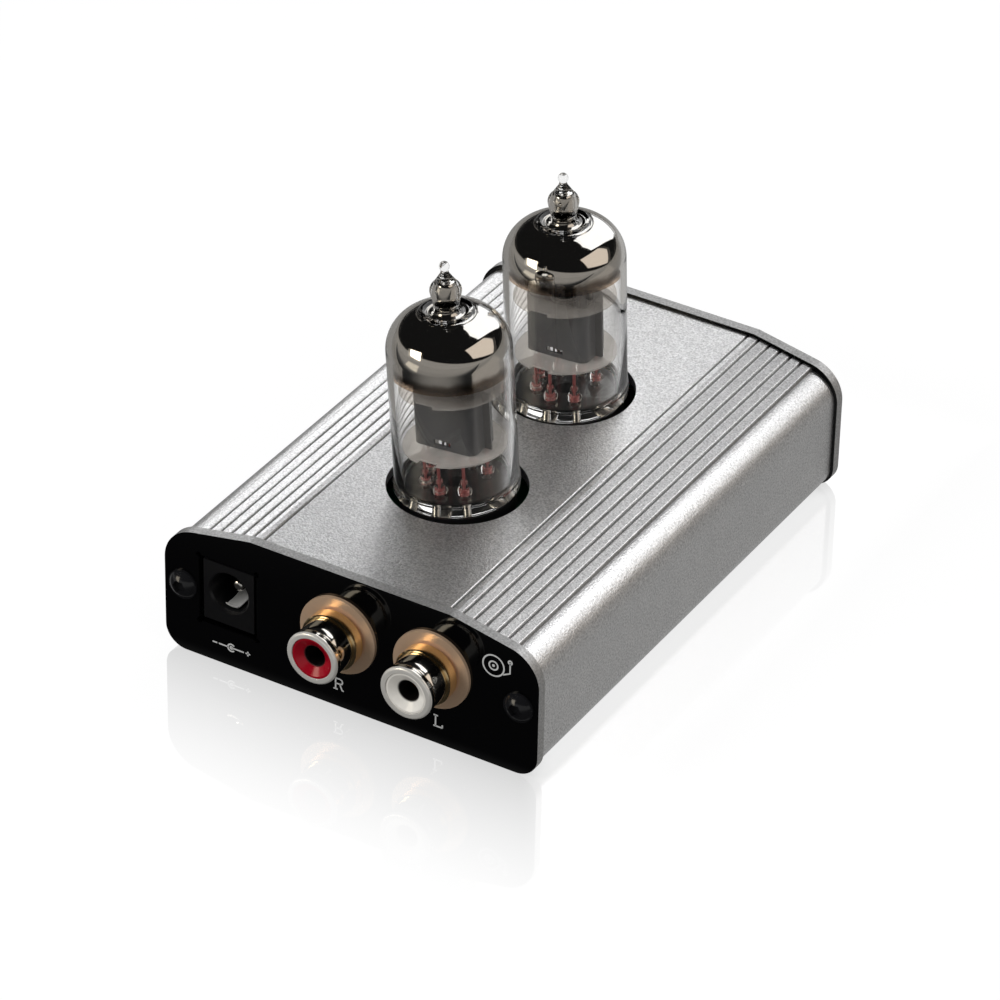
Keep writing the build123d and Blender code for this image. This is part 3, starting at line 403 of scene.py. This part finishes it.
def lathe(name, profile, places, segments=160, marks=None):
    """Closed mesh turned about Z, once at each place, from a half section in mm.

    The section runs round anticlockwise, so that faces point out of the material. marks gives one value for
    each point of the section.
    """
    points, faces, values = [], [], []
    for place in places:
        rings = []
        for i, (radius, height) in enumerate(profile):
            count = segments if radius > ON_AXIS else 1
            rings.append(list(range(len(points), len(points) + count)))
            for k in range(count):
                turn = 2 * math.pi * k / count
                points.append(place @ Vector((radius * math.cos(turn), radius * math.sin(turn), height)) * MM)
                values.append(marks[i] if marks else 0.0)
        for here, there in zip(rings, rings[1:] + rings[:1]):
            if len(here) == 1 and len(there) == 1:
                continue
            for k in range(segments):
                face = [here[k % len(here)], here[(k + 1) % len(here)], there[(k + 1) % len(there)],
                        there[k % len(there)]]
                faces.append([v for j, v in enumerate(face) if v != face[j - 1]])
    mesh = bpy.data.meshes.new(name)
    mesh.from_pydata(points, [], faces)
    if marks:
        layer = mesh.attributes.new("film", "FLOAT", "POINT")
        layer.data.foreach_set("value", values)
    smooth_mesh(mesh, turn_out=False)
    return mesh


def arc_points(centre, radius, start, end, count):
    """Points of a circular arc in the half section; angles in degrees."""
    turns = [math.radians(start + (end - start) * i / count) for i in range(count + 1)]
    return [(centre[0] + radius * math.cos(t), centre[1] + radius * math.sin(t)) for t in turns]


def spline_value(a, b, c, d, t):
    """Value between b and c of a smooth line through a, b, c and d."""
    bend = 2 * a - 5 * b + 4 * c - d
    twist = 3 * b - a - 3 * c + d
    return 0.5 * (2 * b + (c - a) * t + bend * t * t + twist * t ** 3)


def curve_points(points, steps=6):
    """A smooth line through the points."""
    out = []
    for i in range(len(points) - 1):
        p0, p1, p2 = points[max(i - 1, 0)], points[i], points[i + 1]
        p3 = points[min(i + 2, len(points) - 1)]
        for k in range(steps):
            t = k / steps
            out.append(tuple(spline_value(a, b, c, d, t) for a, b, c, d in zip(p0, p1, p2, p3)))
    return out + [points[-1]]


# ---------------------------------------------------------------- valves
VALVE_X = 1.2
VALVE_Y = {1: -15.8, 2: 15.1}
VALVE_LEAN = {1: 4.4, 2: 2.6}  # degrees to the left
LEAN_PIVOT_Z = 6.9
BASE_ABOVE_PIVOT = 15.4
GLASS_RADIUS = 9.3
BORE_RADIUS = 8.4
WALL_TOP = 23.8
DOME_CENTRE_RADIUS = 3.1
OUTER_DOME_RADIUS = 6.2
INNER_DOME_RADIUS = 5.3
BORE_END = 35.0
FILM_EDGE = {1: 20.6, 2: 22.0}  # height of the film's lower edge above the glass base
FILM_WALL_STEPS = 14
FILM_FADE = 4.0
FILM_OUTER_GAP = 0.02
FILM_INNER_GAP = 0.07
PIN_CIRCLE_RADIUS = 4.7625
PIN_STEPS = 8  # seven pins and one gap
LEAD_BEAD = [(0.27, 1.93), (1.25, 1.93), (1.15, 2.25), (0.9, 2.6), (0.72, 3.1), (0.6, 3.7), (0.45, 4.15),
             (0.27, 4.35)]


def valve_place(number):
    """Place of a valve: z = 0 at the bottom of its glass base, z along its leaning axis."""
    pivot = Matrix.Translation((VALVE_X, VALVE_Y[number], LEAN_PIVOT_Z))
    lean = Matrix.Rotation(math.radians(-VALVE_LEAN[number]), 4, "Y")
    return pivot @ lean @ Matrix.Translation((0, 0, BASE_ABOVE_PIVOT))


def bulb_outside():
    """Outer line of the glass: base, wall, dome, wavy pressed neck and tip."""
    line = [(0, 0), (8.405, 0)] + arc_points((8.405, 1.045), 1.045, -90, 0, 10)[1:]
    line += [(9.45, 1.9), (9.40, 2.02), (9.32, 2.16), (GLASS_RADIUS, 2.3), (GLASS_RADIUS, 12.0)]
    line += arc_points((DOME_CENTRE_RADIUS, WALL_TOP), OUTER_DOME_RADIUS, 0, 78, 30)
    neck = [(4.389, 29.865), (4.13, 30.07), (3.8, 30.25), (3.45, 30.22), (3.2, 30.05), (2.85, 29.95),
            (2.45, 30.06), (2.1, 30.33), (1.92, 30.65), (1.98, 31.4), (2.2, 32.4), (2.36, 33.2)]
    line += curve_points(neck)[1:]
    line += arc_points((0.77, 33.4), 1.6, 0, 55, 10)
    line += [(1.36, 35.19), (0.98, 35.75), (0.70, 36.15), (0.58, 36.45), (0.55, 36.7)]
    line += arc_points((0, 37.32), 0.78, -43, 90, 16)
    return line


def bulb_inside():
    """Inner line of the glass from the axis at the base up to the end of the tip's bore."""
    line = [(0, 1.9), (7.7, 1.9), (8.2, 2.05), (8.38, 2.3), (BORE_RADIUS, 2.7), (BORE_RADIUS, 12.0)]
    line += arc_points((DOME_CENTRE_RADIUS, WALL_TOP), INNER_DOME_RADIUS, 0, 74, 30)
    neck = [(4.56, 28.895), (4.2, 29.05), (3.8, 29.3), (3.45, 29.36), (3.1, 29.2), (2.7, 29.12), (2.2, 29.25),
            (1.6, 29.7), (1.25, 30.4), (1.3, 31.6), (1.52, 33.0), (1.45, 33.9), (1.05, 34.6), (0.5, 34.95)]
    line += curve_points(neck)[1:]
    return line


def shifted(line, distance):
    """The line moved to its left or right, as seen along it."""
    out = []
    for i, (r, h) in enumerate(line):
        a, b = line[max(i - 1, 0)], line[min(i + 1, len(line) - 1)]
        along = Vector((b[0] - a[0], b[1] - a[1])).normalized()
        out.append((max(r - along.y * distance, 0.0), h + along.x * distance))
    return out


def add_bulb(number, place):
    """Glass bulb with its base, dome and tip."""
    name = f"valve_{number}_bulb"
    section = bulb_outside() + [(0, BORE_END)] + bulb_inside()[::-1]
    mesh = lathe(name, section, [place])
    bulb = add_object(name, mesh, finishes["clear_glass"], f"valve_{number}")
    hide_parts(f"valve_{number}_glass")


def add_getter_film(number, place):
    """Thin film on the inside of the dome, marked with 0 at its lower edge and 1 where it is full."""
    name = f"valve_{number}_getter_film"
    edge = FILM_EDGE[number]
    rise = WALL_TOP - edge
    wall = [(BORE_RADIUS, edge + rise * i / FILM_WALL_STEPS) for i in range(FILM_WALL_STEPS)]
    dome = [point for point in bulb_inside() if point[1] >= WALL_TOP]
    line = wall + dome + [(0.0, BORE_END)]
    travelled, depths = 0.0, []
    for i, point in enumerate(line):
        if i:
            travelled += math.dist(point, line[i - 1])
        depths.append(min(travelled / FILM_FADE, 1.0))
    outer = shifted(line, FILM_OUTER_GAP)
    inner = shifted(line, FILM_INNER_GAP)
    outer[-1], inner[-1] = (0.0, 34.93), (0.0, 34.88)
    mesh = lathe(name, outer + inner[::-1], [place], marks=depths + depths[::-1])
    film = add_object(name, mesh, finishes["getter_mirror"], f"valve_{number}")
    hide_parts(f"valve_{number}_mirror")


def add_lead_beads(number, place):
    """Glass beads where the leads come up through the base."""
    name = f"valve_{number}_lead_beads"
    turns = [2 * math.pi * (i + 1) / PIN_STEPS for i in range(PIN_STEPS - 1)]
    spots = [place @ Matrix.Translation((PIN_CIRCLE_RADIUS * math.cos(t), PIN_CIRCLE_RADIUS * math.sin(t), 0))
             for t in turns]
    mesh = lathe(name, LEAD_BEAD, spots, 32)
    add_object(name, mesh, finishes["clear_glass"], f"valve_{number}")


for number in (1, 2):
    valve = valve_place(number)
    add_bulb(number, valve)
    add_getter_film(number, valve)
    add_lead_beads(number, valve)


# ---------------------------------------------------------------- jacks
def shell_section():
    """Half section of a jack's shell: thread, barrel, tapered neck and rolled lip."""
    section = [(2.5, -7.0), (3.3, -7.0), (3.3, 2.95), (4.1, 2.95), (4.2, 3.05), (4.2, 4.9), (4.185, 5.3),
               (4.15, 5.6), (4.09, 5.9), (4.04, 6.1), (4.04, 6.2)]
    section += arc_points((4.04, 6.46), 0.26, -90, 0, 8)[1:]
    section += [(4.28, 6.7), (4.3, 6.9)]
    section += arc_points((3.9, 7.1), 0.4, 0, 90, 10)
    section += [(3.42, 7.5), (3.35, 7.42), (3.35, 3.45), (2.5, 3.45)]
    return section


COLLAR_SECTION = [(3.34, 0.57), (4.2, 0.57), (4.2, 0.92), (4.5, 0.92), (4.65, 1.0), (4.65, 2.78),
                  (4.5, 2.93), (3.34, 2.93)]
TURNED_SEGMENTS = 128


def dress_jacks():
    """Turned shells with a tapered neck behind the rolled lip, and collars with a dark undercut."""
    places = {}
    for jack, (x, _) in JACKS.items():
        turn, y = (90, -PLATE_Y) if jack.startswith("output") else (-90, PLATE_Y)
        places[jack] = Matrix.Translation((x, y, JACK_Z)) @ Matrix.Rotation(math.radians(turn), 4, "X")
    for jack, place in places.items():
        mesh = lathe(f"{jack}_turned_shell", shell_section(), [place], TURNED_SEGMENTS)
        shell = add_object(f"{jack}_turned_shell", mesh, shell_metal, "case")
        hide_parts(f"{jack}_jack_shell")
    mesh = lathe("grooved_collars", COLLAR_SECTION, list(places.values()), TURNED_SEGMENTS)
    collars = add_object("grooved_collars", mesh, finishes["gilt"], "case")
    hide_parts("jack_collars")


dress_jacks()


# ---------------------------------------------------------------- marks on the output plate
STROKE_WIDTH = 0.24
STROKE_HEIGHT = 0.02
STROKE_ROOT = 0.02
LETTER_L = [[(0, 0), (0, 1.9)], [(-0.35, 1.9), (0.4, 1.9)], [(-0.35, 0), (1.15, 0)],
            [(1.15, 0), (1.15, 0.5)]]
LETTER_R = [[(0, 0), (0, 1.9)], [(-0.35, 1.9), (0.75, 1.9)], [(-0.35, 0), (0.35, 0)],
            [(0.75, 1.9), (1.08, 1.78), (1.2, 1.45), (1.08, 1.12), (0.75, 1.0), (0, 1.0)],
            [(0.7, 1.0), (1.15, 0), (1.4, 0)]]
LETTER_L_PLACE = (14.9, 3.0)
LETTER_R_PLACE = (-2.2, 3.0)
POLARITY_PLACE = (-20.4, 3.3)
TURNTABLE_PLACE = (24.4, 17.3)


def ribbon(shaped, points, closed):
    """A raised stroke of even width along points (x, z) on the output plate."""
    count = len(points)
    rows = []
    for i, (x, z) in enumerate(points):
        before = points[i - 1] if closed or i else points[i]
        after = points[(i + 1) % count] if closed or i < count - 1 else points[i]
        along = Vector((after[0] - before[0], after[1] - before[1])).normalized()
        side = Vector((-along.y, along.x)) * STROKE_WIDTH / 2
        row = []
        for sign in (1, -1):
            for y in (-PLATE_Y + STROKE_ROOT, -PLATE_Y - STROKE_HEIGHT):
                row.append(shaped.verts.new(Vector((x + sign * side.x, y, z + sign * side.y)) * MM))
        rows.append(row)
    pairs = list(zip(rows, rows[1:] + rows[:1])) if closed else list(zip(rows, rows[1:]))
    for a, b in pairs:
        for i, j in ((0, 1), (1, 3), (3, 2), (2, 0)):
            shaped.faces.new((a[i], a[j], b[j], b[i]))
    if not closed:
        for row in (rows[0], rows[-1]):
            shaped.faces.new((row[0], row[1], row[3], row[2]))


def ring_of(x, z, radius, count, start=0.0, end=360.0):
    """Points of a ring, with one more where it is open."""
    turns = [math.radians(start + (end - start) * i / count) for i in range(count + (end - start < 360))]
    return [(x + radius * math.cos(t), z + radius * math.sin(t)) for t in turns]


def letter(place, paths):
    """Strokes of a letter whose paths are given from its own lower left."""
    x, z = place
    return [([(x + a, z + b) for a, b in path], False) for path in paths]


def polarity_sign(x, z):
    """A dot in an open ring, with a minus at its left and a plus at its right."""
    strokes = [(ring_of(x, z, 0.62, 20, 40, 320), False), (ring_of(x, z, 0.2, 12), True)]
    strokes += [([(x - 2.2, z), (x - 0.62, z)], False), ([(x + 0.2, z), (x + 2.2, z)], False)]
    strokes.append(([(x - 3.3, z), (x - 2.5, z)], False))
    strokes += [([(x + 2.5, z), (x + 3.3, z)], False), ([(x + 2.9, z - 0.4), (x + 2.9, z + 0.4)], False)]
    return strokes


def turntable_sign(x, z):
    """A disc with its label and spindle, and an arm beside it."""
    strokes = [(ring_of(x, z, radius, count), True) for radius, count in ((1.75, 40), (0.72, 24), (0.12, 10))]
    strokes.append(([(x + 2.75, z + 1.5), (x + 2.75, z - 0.4), (x + 1.6, z - 1.0)], False))
    strokes.append((ring_of(x + 2.75, z + 1.5, 0.3, 14), True))
    return strokes


def build_marks():
    """Printed marks: a letter at each output jack, a polarity sign at the inlet and a turntable sign."""
    strokes = letter(LETTER_L_PLACE, LETTER_L) + letter(LETTER_R_PLACE, LETTER_R)
    strokes += polarity_sign(*POLARITY_PLACE) + turntable_sign(*TURNTABLE_PLACE)
    shaped = bmesh.new()
    for points, closed in strokes:
        ribbon(shaped, points, closed)
    bmesh.ops.recalc_face_normals(shaped, faces=shaped.faces)
    mesh = bpy.data.meshes.new("plate_marks")
    shaped.to_mesh(mesh)
    shaped.free()
    ink = finish_of("white_print", (0.56, 0.56, 0.55), 0.5, 0.0, 0.15, (4000.0, 0.2, 0.01))
    add_object("plate_marks", mesh, ink, "case")


build_marks()


# ---------------------------------------------------------------- leaf contact of the inlet
INLET_X = -20.95
INLET_Z = 12.6
INLET_FRONT_Y = -45.4
LEAF_LINE = [(0.75, 2.62), (0.95, 2.92), (1.6, 3.02), (3.6, 2.92), (5.6, 2.35), (7.4, 2.7), (9.2, 3.9)]
LEAF_HALF_WIDTH = 1.05
LEAF_THICKNESS = 0.16
LEAF_STRIPS = 8
CUPPED_LENGTH = 4.5
CUP_RADIUS = 3.1


def leaf_points(line):
    """Lower and upper sheet of the leaf; line holds how far back and how far below the axis it runs."""
    points = []
    for lift in (0.0, LEAF_THICKNESS):
        for back, drop in line:
            for i in range(LEAF_STRIPS + 1):
                across = -LEAF_HALF_WIDTH + 2 * LEAF_HALF_WIDTH * i / LEAF_STRIPS
                cupped = CUP_RADIUS - math.sqrt(CUP_RADIUS ** 2 - across ** 2)
                rise = cupped if back < CUPPED_LENGTH else 0.0
                place = Vector((INLET_X + across, INLET_FRONT_Y + back, INLET_Z - drop + rise + lift))
                points.append(place * MM)
    return points


def leaf_faces(rows):
    """Faces of the two sheets, then of the long sides and of the ends between them."""
    faces = []
    columns = LEAF_STRIPS + 1
    sheet = rows * columns
    for start in (0, sheet):
        for row in range(rows - 1):
            for strip in range(LEAF_STRIPS):
                a = start + row * columns + strip
                faces.append([a, a + 1, a + columns + 1, a + columns])
    for row in range(rows - 1):
        for a in (row * columns, row * columns + LEAF_STRIPS):
            faces.append([a, a + columns, a + columns + sheet, a + sheet])
    for strip in range(LEAF_STRIPS):
        for a in (strip, (rows - 1) * columns + strip):
            faces.append([a, a + 1, a + 1 + sheet, a + sheet])
    return faces


def build_leaf():
    """Bright leaf that lies along the floor of the inlet's mouth and runs back to its slot."""
    line = curve_points(LEAF_LINE, 5)
    mesh = bpy.data.meshes.new("inlet_leaf")
    mesh.from_pydata(leaf_points(line), [], leaf_faces(len(line)))
    smooth_mesh(mesh, 50.0)
    metal = finish_of("sprung_tin", (0.86, 0.85, 0.82), 0.35, 0.55, 0.1, (1500.0, 0.2, 0.01))
    leaf = add_object("inlet_leaf", mesh, metal, "case")
    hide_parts("power_inlet_spring")


build_leaf()


# ---------------------------------------------------------------- stage
WHITE_LIGHT = (1, 1, 1, 1)
ROOM_GREY = (0.34, 0.34, 0.34, 1)
STUDIO_GREY = (0.315, 0.315, 0.31)
IN_GLASS = (0.30, 0.285, 0.265)
DARK_ROOM = (0.008, 0.008, 0.008, 1)
BEIGE = (0.80, 0.70, 0.60, 1)
WARM_LIGHT = (4.0, 3.6, 2.9, 1)
# directions of the corners, one way round
SOFTBOX = ((-0.33, 0.52, 0.79), (0.25, 0.29, 0.92), (0.52, 0.33, 0.79), (0.40, 0.73, 0.55),
           (0.20, 0.97, 0.15), (0.0, 1.00, 0.0), (-0.35, 0.93, 0.15))
BEIGE_CARD = ((0.63, -0.23, 0.74), (0.53, 0.52, 0.67), (0.58, 0.72, 0.38), (0.84, 0.54, 0.03),
              (0.93, -0.20, 0.29))
WARM_STRIP = ((-0.80, -0.50, 0.34), (-0.45, -0.74, 0.50), (-0.40, -0.91, 0.10), (-0.75, -0.65, 0.10))


def panel(g, direction, corners, soft):
    """1 inside a convex patch of directions, 0 outside, with an edge as soft as given."""
    points = [Vector(corner).normalized() for corner in corners]
    middle = sum(points, Vector()).normalized()
    inside = None
    for a, b in zip(points, points[1:] + points[:1]):
        normal = a.cross(b).normalized()
        if normal.dot(middle) < 0:
            normal.negate()
        side = g.add("ShaderNodeVectorMath", {0: direction, 1: normal}, operation="DOT_PRODUCT")
        side = g.step(side.outputs["Value"], 0.0, soft)
        inside = side if inside is None else g.math("MULTIPLY", inside, side)
    return inside


def white_seen(g, path):
    """1 where the white surroundings show: straight from the camera, through clear glass, or in the floor."""
    first = g.math("LESS_THAN", path["Glossy Depth"], 0.5)
    through = g.math("MULTIPLY", path["Is Transmission Ray"], first)
    sharp = g.math("MULTIPLY", path["Is Glossy Ray"], path["Is Singular Ray"])
    return g.math("MAXIMUM", path["Is Camera Ray"], g.math("MAXIMUM", through, sharp))


def grey_of(g, path, gain=1.0):
    """The studio's grey: plain in the metal, warmer in what is seen through the glass."""
    inside = g.step(path["Transmission Depth"], 0.4, 0.6, smooth=False)
    return g.mix_colour(inside, rgba(STUDIO_GREY, gain), rgba(IN_GLASS, gain))


def build_world():
    """White to the camera; in metal and glass a dark room, grey below, with a beige card and a warm strip."""
    world = bpy.data.worlds.new("studio")
    scene.world = world
    world.use_nodes = True
    world.cycles.sampling_method = "NONE"
    g = Graph(world.node_tree)
    direction = g.add("ShaderNodeTexCoord").outputs["Generated"]
    xyz = g.split(direction)
    level = g.math("ADD", xyz["Z"], g.math("MULTIPLY", xyz["Y"], 0.2))
    low = g.math("SUBTRACT", 1.0, g.step(level, 0.08, 0.12))
    path = g.add("ShaderNodeLightPath").outputs
    colour = g.mix_colour(low, DARK_ROOM, grey_of(g, path))
    colour = g.mix_colour(panel(g, direction, BEIGE_CARD, 0.02), colour, BEIGE)
    colour = g.mix_colour(panel(g, direction, WARM_STRIP, 0.04), colour, WARM_LIGHT)
    colour = g.mix_colour(path["Is Diffuse Ray"], colour, ROOM_GREY)
    colour = g.mix_colour(white_seen(g, path), colour, WHITE_LIGHT)
    background = g.add("ShaderNodeBackground", {"Color": colour, "Strength": 1.0}).outputs[0]
    g.finish(background, "ShaderNodeOutputWorld")


def receivers(name, state):
    """The case and its end plates, as the only things a light falls on or the only ones it leaves out."""
    group = bpy.data.collections.new(name)
    for node_name in ("case", "front_plate", "rear_plate"):
        group.objects.link(nodes[node_name])
    for item in group.collection_objects:
        item.light_linking.link_state = state
    return group


SOFTBOX_CENTRE_Z = 35.0
SOFTBOX_DISTANCE = 400.0
SOFTBOX_LEAN = (0, 0.8, 0.6)
SOFTBOX_STRENGTH = 1.45


def build_softbox():
    """Large soft light behind the object, leaning over it; hidden from the camera."""
    centre = Vector((0, 0, SOFTBOX_CENTRE_Z))
    lean = Vector(SOFTBOX_LEAN)
    points = []
    for corner in SOFTBOX:
        along = Vector(corner).normalized()
        points.append((centre + along * (SOFTBOX_DISTANCE / along.dot(lean))) * MM)
    mesh = bpy.data.meshes.new("softbox")
    mesh.from_pydata(points, [], [list(range(len(points)))])
    material, g = new_graph("softbox_light")
    path = g.add("ShaderNodeLightPath").outputs
    first = g.math("LESS_THAN", path["Glossy Depth"], 0.5)
    straight = g.math("MULTIPLY", path["Is Transmission Ray"], first)
    g.finish(g.mix_shader(straight, g.emission(WHITE_LIGHT, SOFTBOX_STRENGTH), g.clear(WHITE_LIGHT)))
    made = add_object("softbox", mesh, material)
    made.visible_camera = False
    made.visible_shadow = False
    made.light_linking.receiver_collection = all_but_aluminium


FLOOR_HALF = 3000.0
FLOOR_DROP = 0.02
PLATE_HALF_WIDTH = 32.0
# floor distance per mm of height at which a mirrored point shows in the main view
MIRRORED_ASIDE = 0.76
MIRRORED_AHEAD = 1.29
MIRROR_AHEAD_SHARE = 0.36
MIRROR_ASIDE_SHARE = 0.14


def mirror_share(g, xyz):
    """How much the floor mirrors: most at the object's foot, fading with the height of what it mirrors."""
    away_x = g.math("SUBTRACT", g.math("ABSOLUTE", xyz["X"]), PLATE_HALF_WIDTH * MM)
    out_x = g.math("DIVIDE", away_x, MIRRORED_ASIDE)
    away_y = g.math("SUBTRACT", g.math("ABSOLUTE", xyz["Y"]), PLATE_Y * MM)
    out_y = g.math("DIVIDE", away_y, MIRRORED_AHEAD)
    ahead = g.math("SUBTRACT", 1.0, g.step(out_y, -3 * MM, 24.0 * MM, smooth=False))
    ahead = g.math("MULTIPLY", g.math("POWER", ahead, 1.5), MIRROR_AHEAD_SHARE)
    aside = g.math("SUBTRACT", 1.0, g.step(out_x, 4 * MM, 20.0 * MM, smooth=False))
    aside = g.math("MULTIPLY", aside, MIRROR_ASIDE_SHARE)
    where = g.step(g.math("SUBTRACT", out_y, out_x), -4 * MM, 4 * MM)
    elsewhere = g.math("SUBTRACT", 1.0, where)
    return g.math("ADD", g.math("MULTIPLY", ahead, where), g.math("MULTIPLY", aside, elsewhere))


def floor_seen(g, xyz):
    """What the camera sees: white, with the object's shadow and a fading reflection."""
    fade = mirror_share(g, xyz)
    shade = g.add("ShaderNodeBsdfDiffuse", {"Color": (0.12, 0.12, 0.12, 1)}).outputs[0]
    glow = g.emission(WHITE_LIGHT, 0.90)
    white = g.add("ShaderNodeAddShader", {0: shade, 1: glow}).outputs[0]
    mirror = g.add("ShaderNodeBsdfGlossy", {"Color": WHITE_LIGHT, "Roughness": 0.0}).outputs[0]
    return g.mix_shader(fade, white, mirror)


def floor_in_metal(g, xyz, path):
    """What the metal mirrors: grey, but dark in a strip just ahead of the output plate."""
    ahead = g.step(g.math("MULTIPLY", xyz["Y"], -1.0), 62 * MM, 120 * MM)
    behind = g.step(xyz["Y"], -48 * MM, -44 * MM)
    lit = g.math("MAXIMUM", ahead, behind)
    grey = g.emission(g.mix_colour(lit, (0.02, 0.02, 0.02, 1), grey_of(g, path, 0.8)))
    tint = g.mix_colour(lit, (0.01, 0.01, 0.01, 1), (0.12, 0.12, 0.12, 1))
    sheen = g.add("ShaderNodeBsdfGlossy", {"Color": tint, "Roughness": 0.03}).outputs[0]
    return g.add("ShaderNodeAddShader", {0: grey, 1: sheen}).outputs[0]


def build_floor():
    """White sweep, with one look for the camera and others for metal, for glass and for soft light."""
    half = FLOOR_HALF * MM
    corners = [(-half, -half, 0), (half, -half, 0), (half, half, 0), (-half, half, 0)]
    mesh = bpy.data.meshes.new("floor")
    mesh.from_pydata(corners, [], [(0, 1, 2, 3)])
    material, g = new_graph("white_acrylic")
    floor = add_object("floor", mesh, material)
    floor.location.z = -FLOOR_DROP * MM
    xyz = g.split(g.place())
    seen = floor_seen(g, xyz)
    path = g.add("ShaderNodeLightPath").outputs
    in_metal = floor_in_metal(g, xyz, path)
    through = g.emission((0.95, 0.95, 0.95, 1))
    soft = g.emission(ROOM_GREY)
    bounced = g.math("GREATER_THAN", path["Glossy Depth"], 0.5)
    first = g.math("MULTIPLY", path["Is Transmission Ray"], g.math("SUBTRACT", 1.0, bounced))
    later = g.math("MULTIPLY", path["Is Transmission Ray"], bounced)
    in_mirror = g.math("MAXIMUM", path["Is Glossy Ray"], later)
    shader = g.mix_shader(in_mirror, soft, in_metal)
    shader = g.mix_shader(first, shader, through)
    shader = g.mix_shader(path["Is Camera Ray"], shader, seen)
    g.finish(shader)
    material.cycles.emission_sampling = "NONE"


def lamp(name, place, target, size, power, receiver, glossy=False):
    """A rectangular area lamp; places in mm."""
    data = bpy.data.lights.new(name, "AREA")
    data.shape = "RECTANGLE"
    data.size, data.size_y = size[0] * MM, size[1] * MM
    data.energy = power
    made = bpy.data.objects.new(name, data)
    scene.collection.objects.link(made)
    made.location = Vector(place) * MM
    made.rotation_euler = (Vector(place) - Vector(target)).to_track_quat("Z", "Y").to_euler()
    made.visible_glossy = glossy
    made.visible_camera = False
    made.visible_transmission = False
    made.light_linking.receiver_collection = receiver


KEY_DISTANCE = 420
KEY_TARGET = (0, 0, 15)
# lamp: direction from the middle of the case, size in mm, power in watts
KEY_LAMPS = {
    "key_back": ((-0.20, 0.74, 0.64), (200, 150), 0.235),
    "key_high": ((0.30, 0.60, 0.75), (130, 120), 0.30),
    "key_low_left": ((-0.62, 0.76, 0.22), (130, 120), 0.11),
    "key_left": ((-0.72, 0.55, 0.42), (130, 120), 0.135),
    "key_right": ((0.55, 0.65, 0.52), (160, 160), 0.17),
}
# lamp: place, target, size in mm, power in watts
FILL_LAMPS = {
    "fill_left": ((-300, -330, 330), (0, -20, 15), (260, 260), 1.8),
    "fill_right": ((420, -120, 260), (0, 0, 15), (220, 220), 0.6),
}


def build_lamps():
    """Two weak fills on all but the aluminium, and key lamps on the aluminium alone."""
    for name, (place, target, size, power) in FILL_LAMPS.items():
        lamp(name, place, target, size, power, all_but_aluminium)
    for name, (direction, size, power) in KEY_LAMPS.items():
        place = Vector(direction).normalized() * KEY_DISTANCE + Vector(KEY_TARGET)
        lamp(name, place, KEY_TARGET, size, power, aluminium, glossy=True)


IMAGE_SIDE_PX = 1000.0
FOCAL_LENGTH_PX = 5329.5
SENSOR_WIDTH = 36.0
CAMERA_ANGLES = (30.481, 33.664, 1.217)  # azimuth, elevation and roll in degrees
CAMERA_TARGET = (-3.50, 0.59, 9.75)
CAMERA_DISTANCE = 807.035
CAMERA_SHIFT = (0.006905, -0.001027)


def build_camera():
    """Camera of the main view."""
    azimuth, elevation, roll = (math.radians(angle) for angle in CAMERA_ANGLES)
    target = Vector(CAMERA_TARGET) * MM
    back = Vector((math.sin(azimuth) * math.cos(elevation), -math.cos(azimuth) * math.cos(elevation),
                   math.sin(elevation)))
    side = (-back).cross(Vector((0, 0, 1))).normalized()
    up = side.cross(-back)
    right = math.cos(roll) * side + math.sin(roll) * up
    top = -math.sin(roll) * side + math.cos(roll) * up
    data = bpy.data.cameras.new("camera")
    data.sensor_width = SENSOR_WIDTH
    data.lens = FOCAL_LENGTH_PX * SENSOR_WIDTH / IMAGE_SIDE_PX
    data.shift_x, data.shift_y = CAMERA_SHIFT
    data.clip_start = 0.01
    data.clip_end = 100.0
    camera = bpy.data.objects.new("camera", data)
    scene.collection.objects.link(camera)
    rotation = Matrix((right, top, back)).transposed().to_4x4()
    camera.matrix_world = Matrix.Translation(target + back * CAMERA_DISTANCE * MM) @ rotation
    scene.camera = camera


aluminium = receivers("aluminium_only", "INCLUDE")
all_but_aluminium = receivers("all_but_aluminium", "EXCLUDE")
build_world()
build_softbox()
build_floor()
build_lamps()
build_camera()
scene.view_settings.view_transform = "Standard"
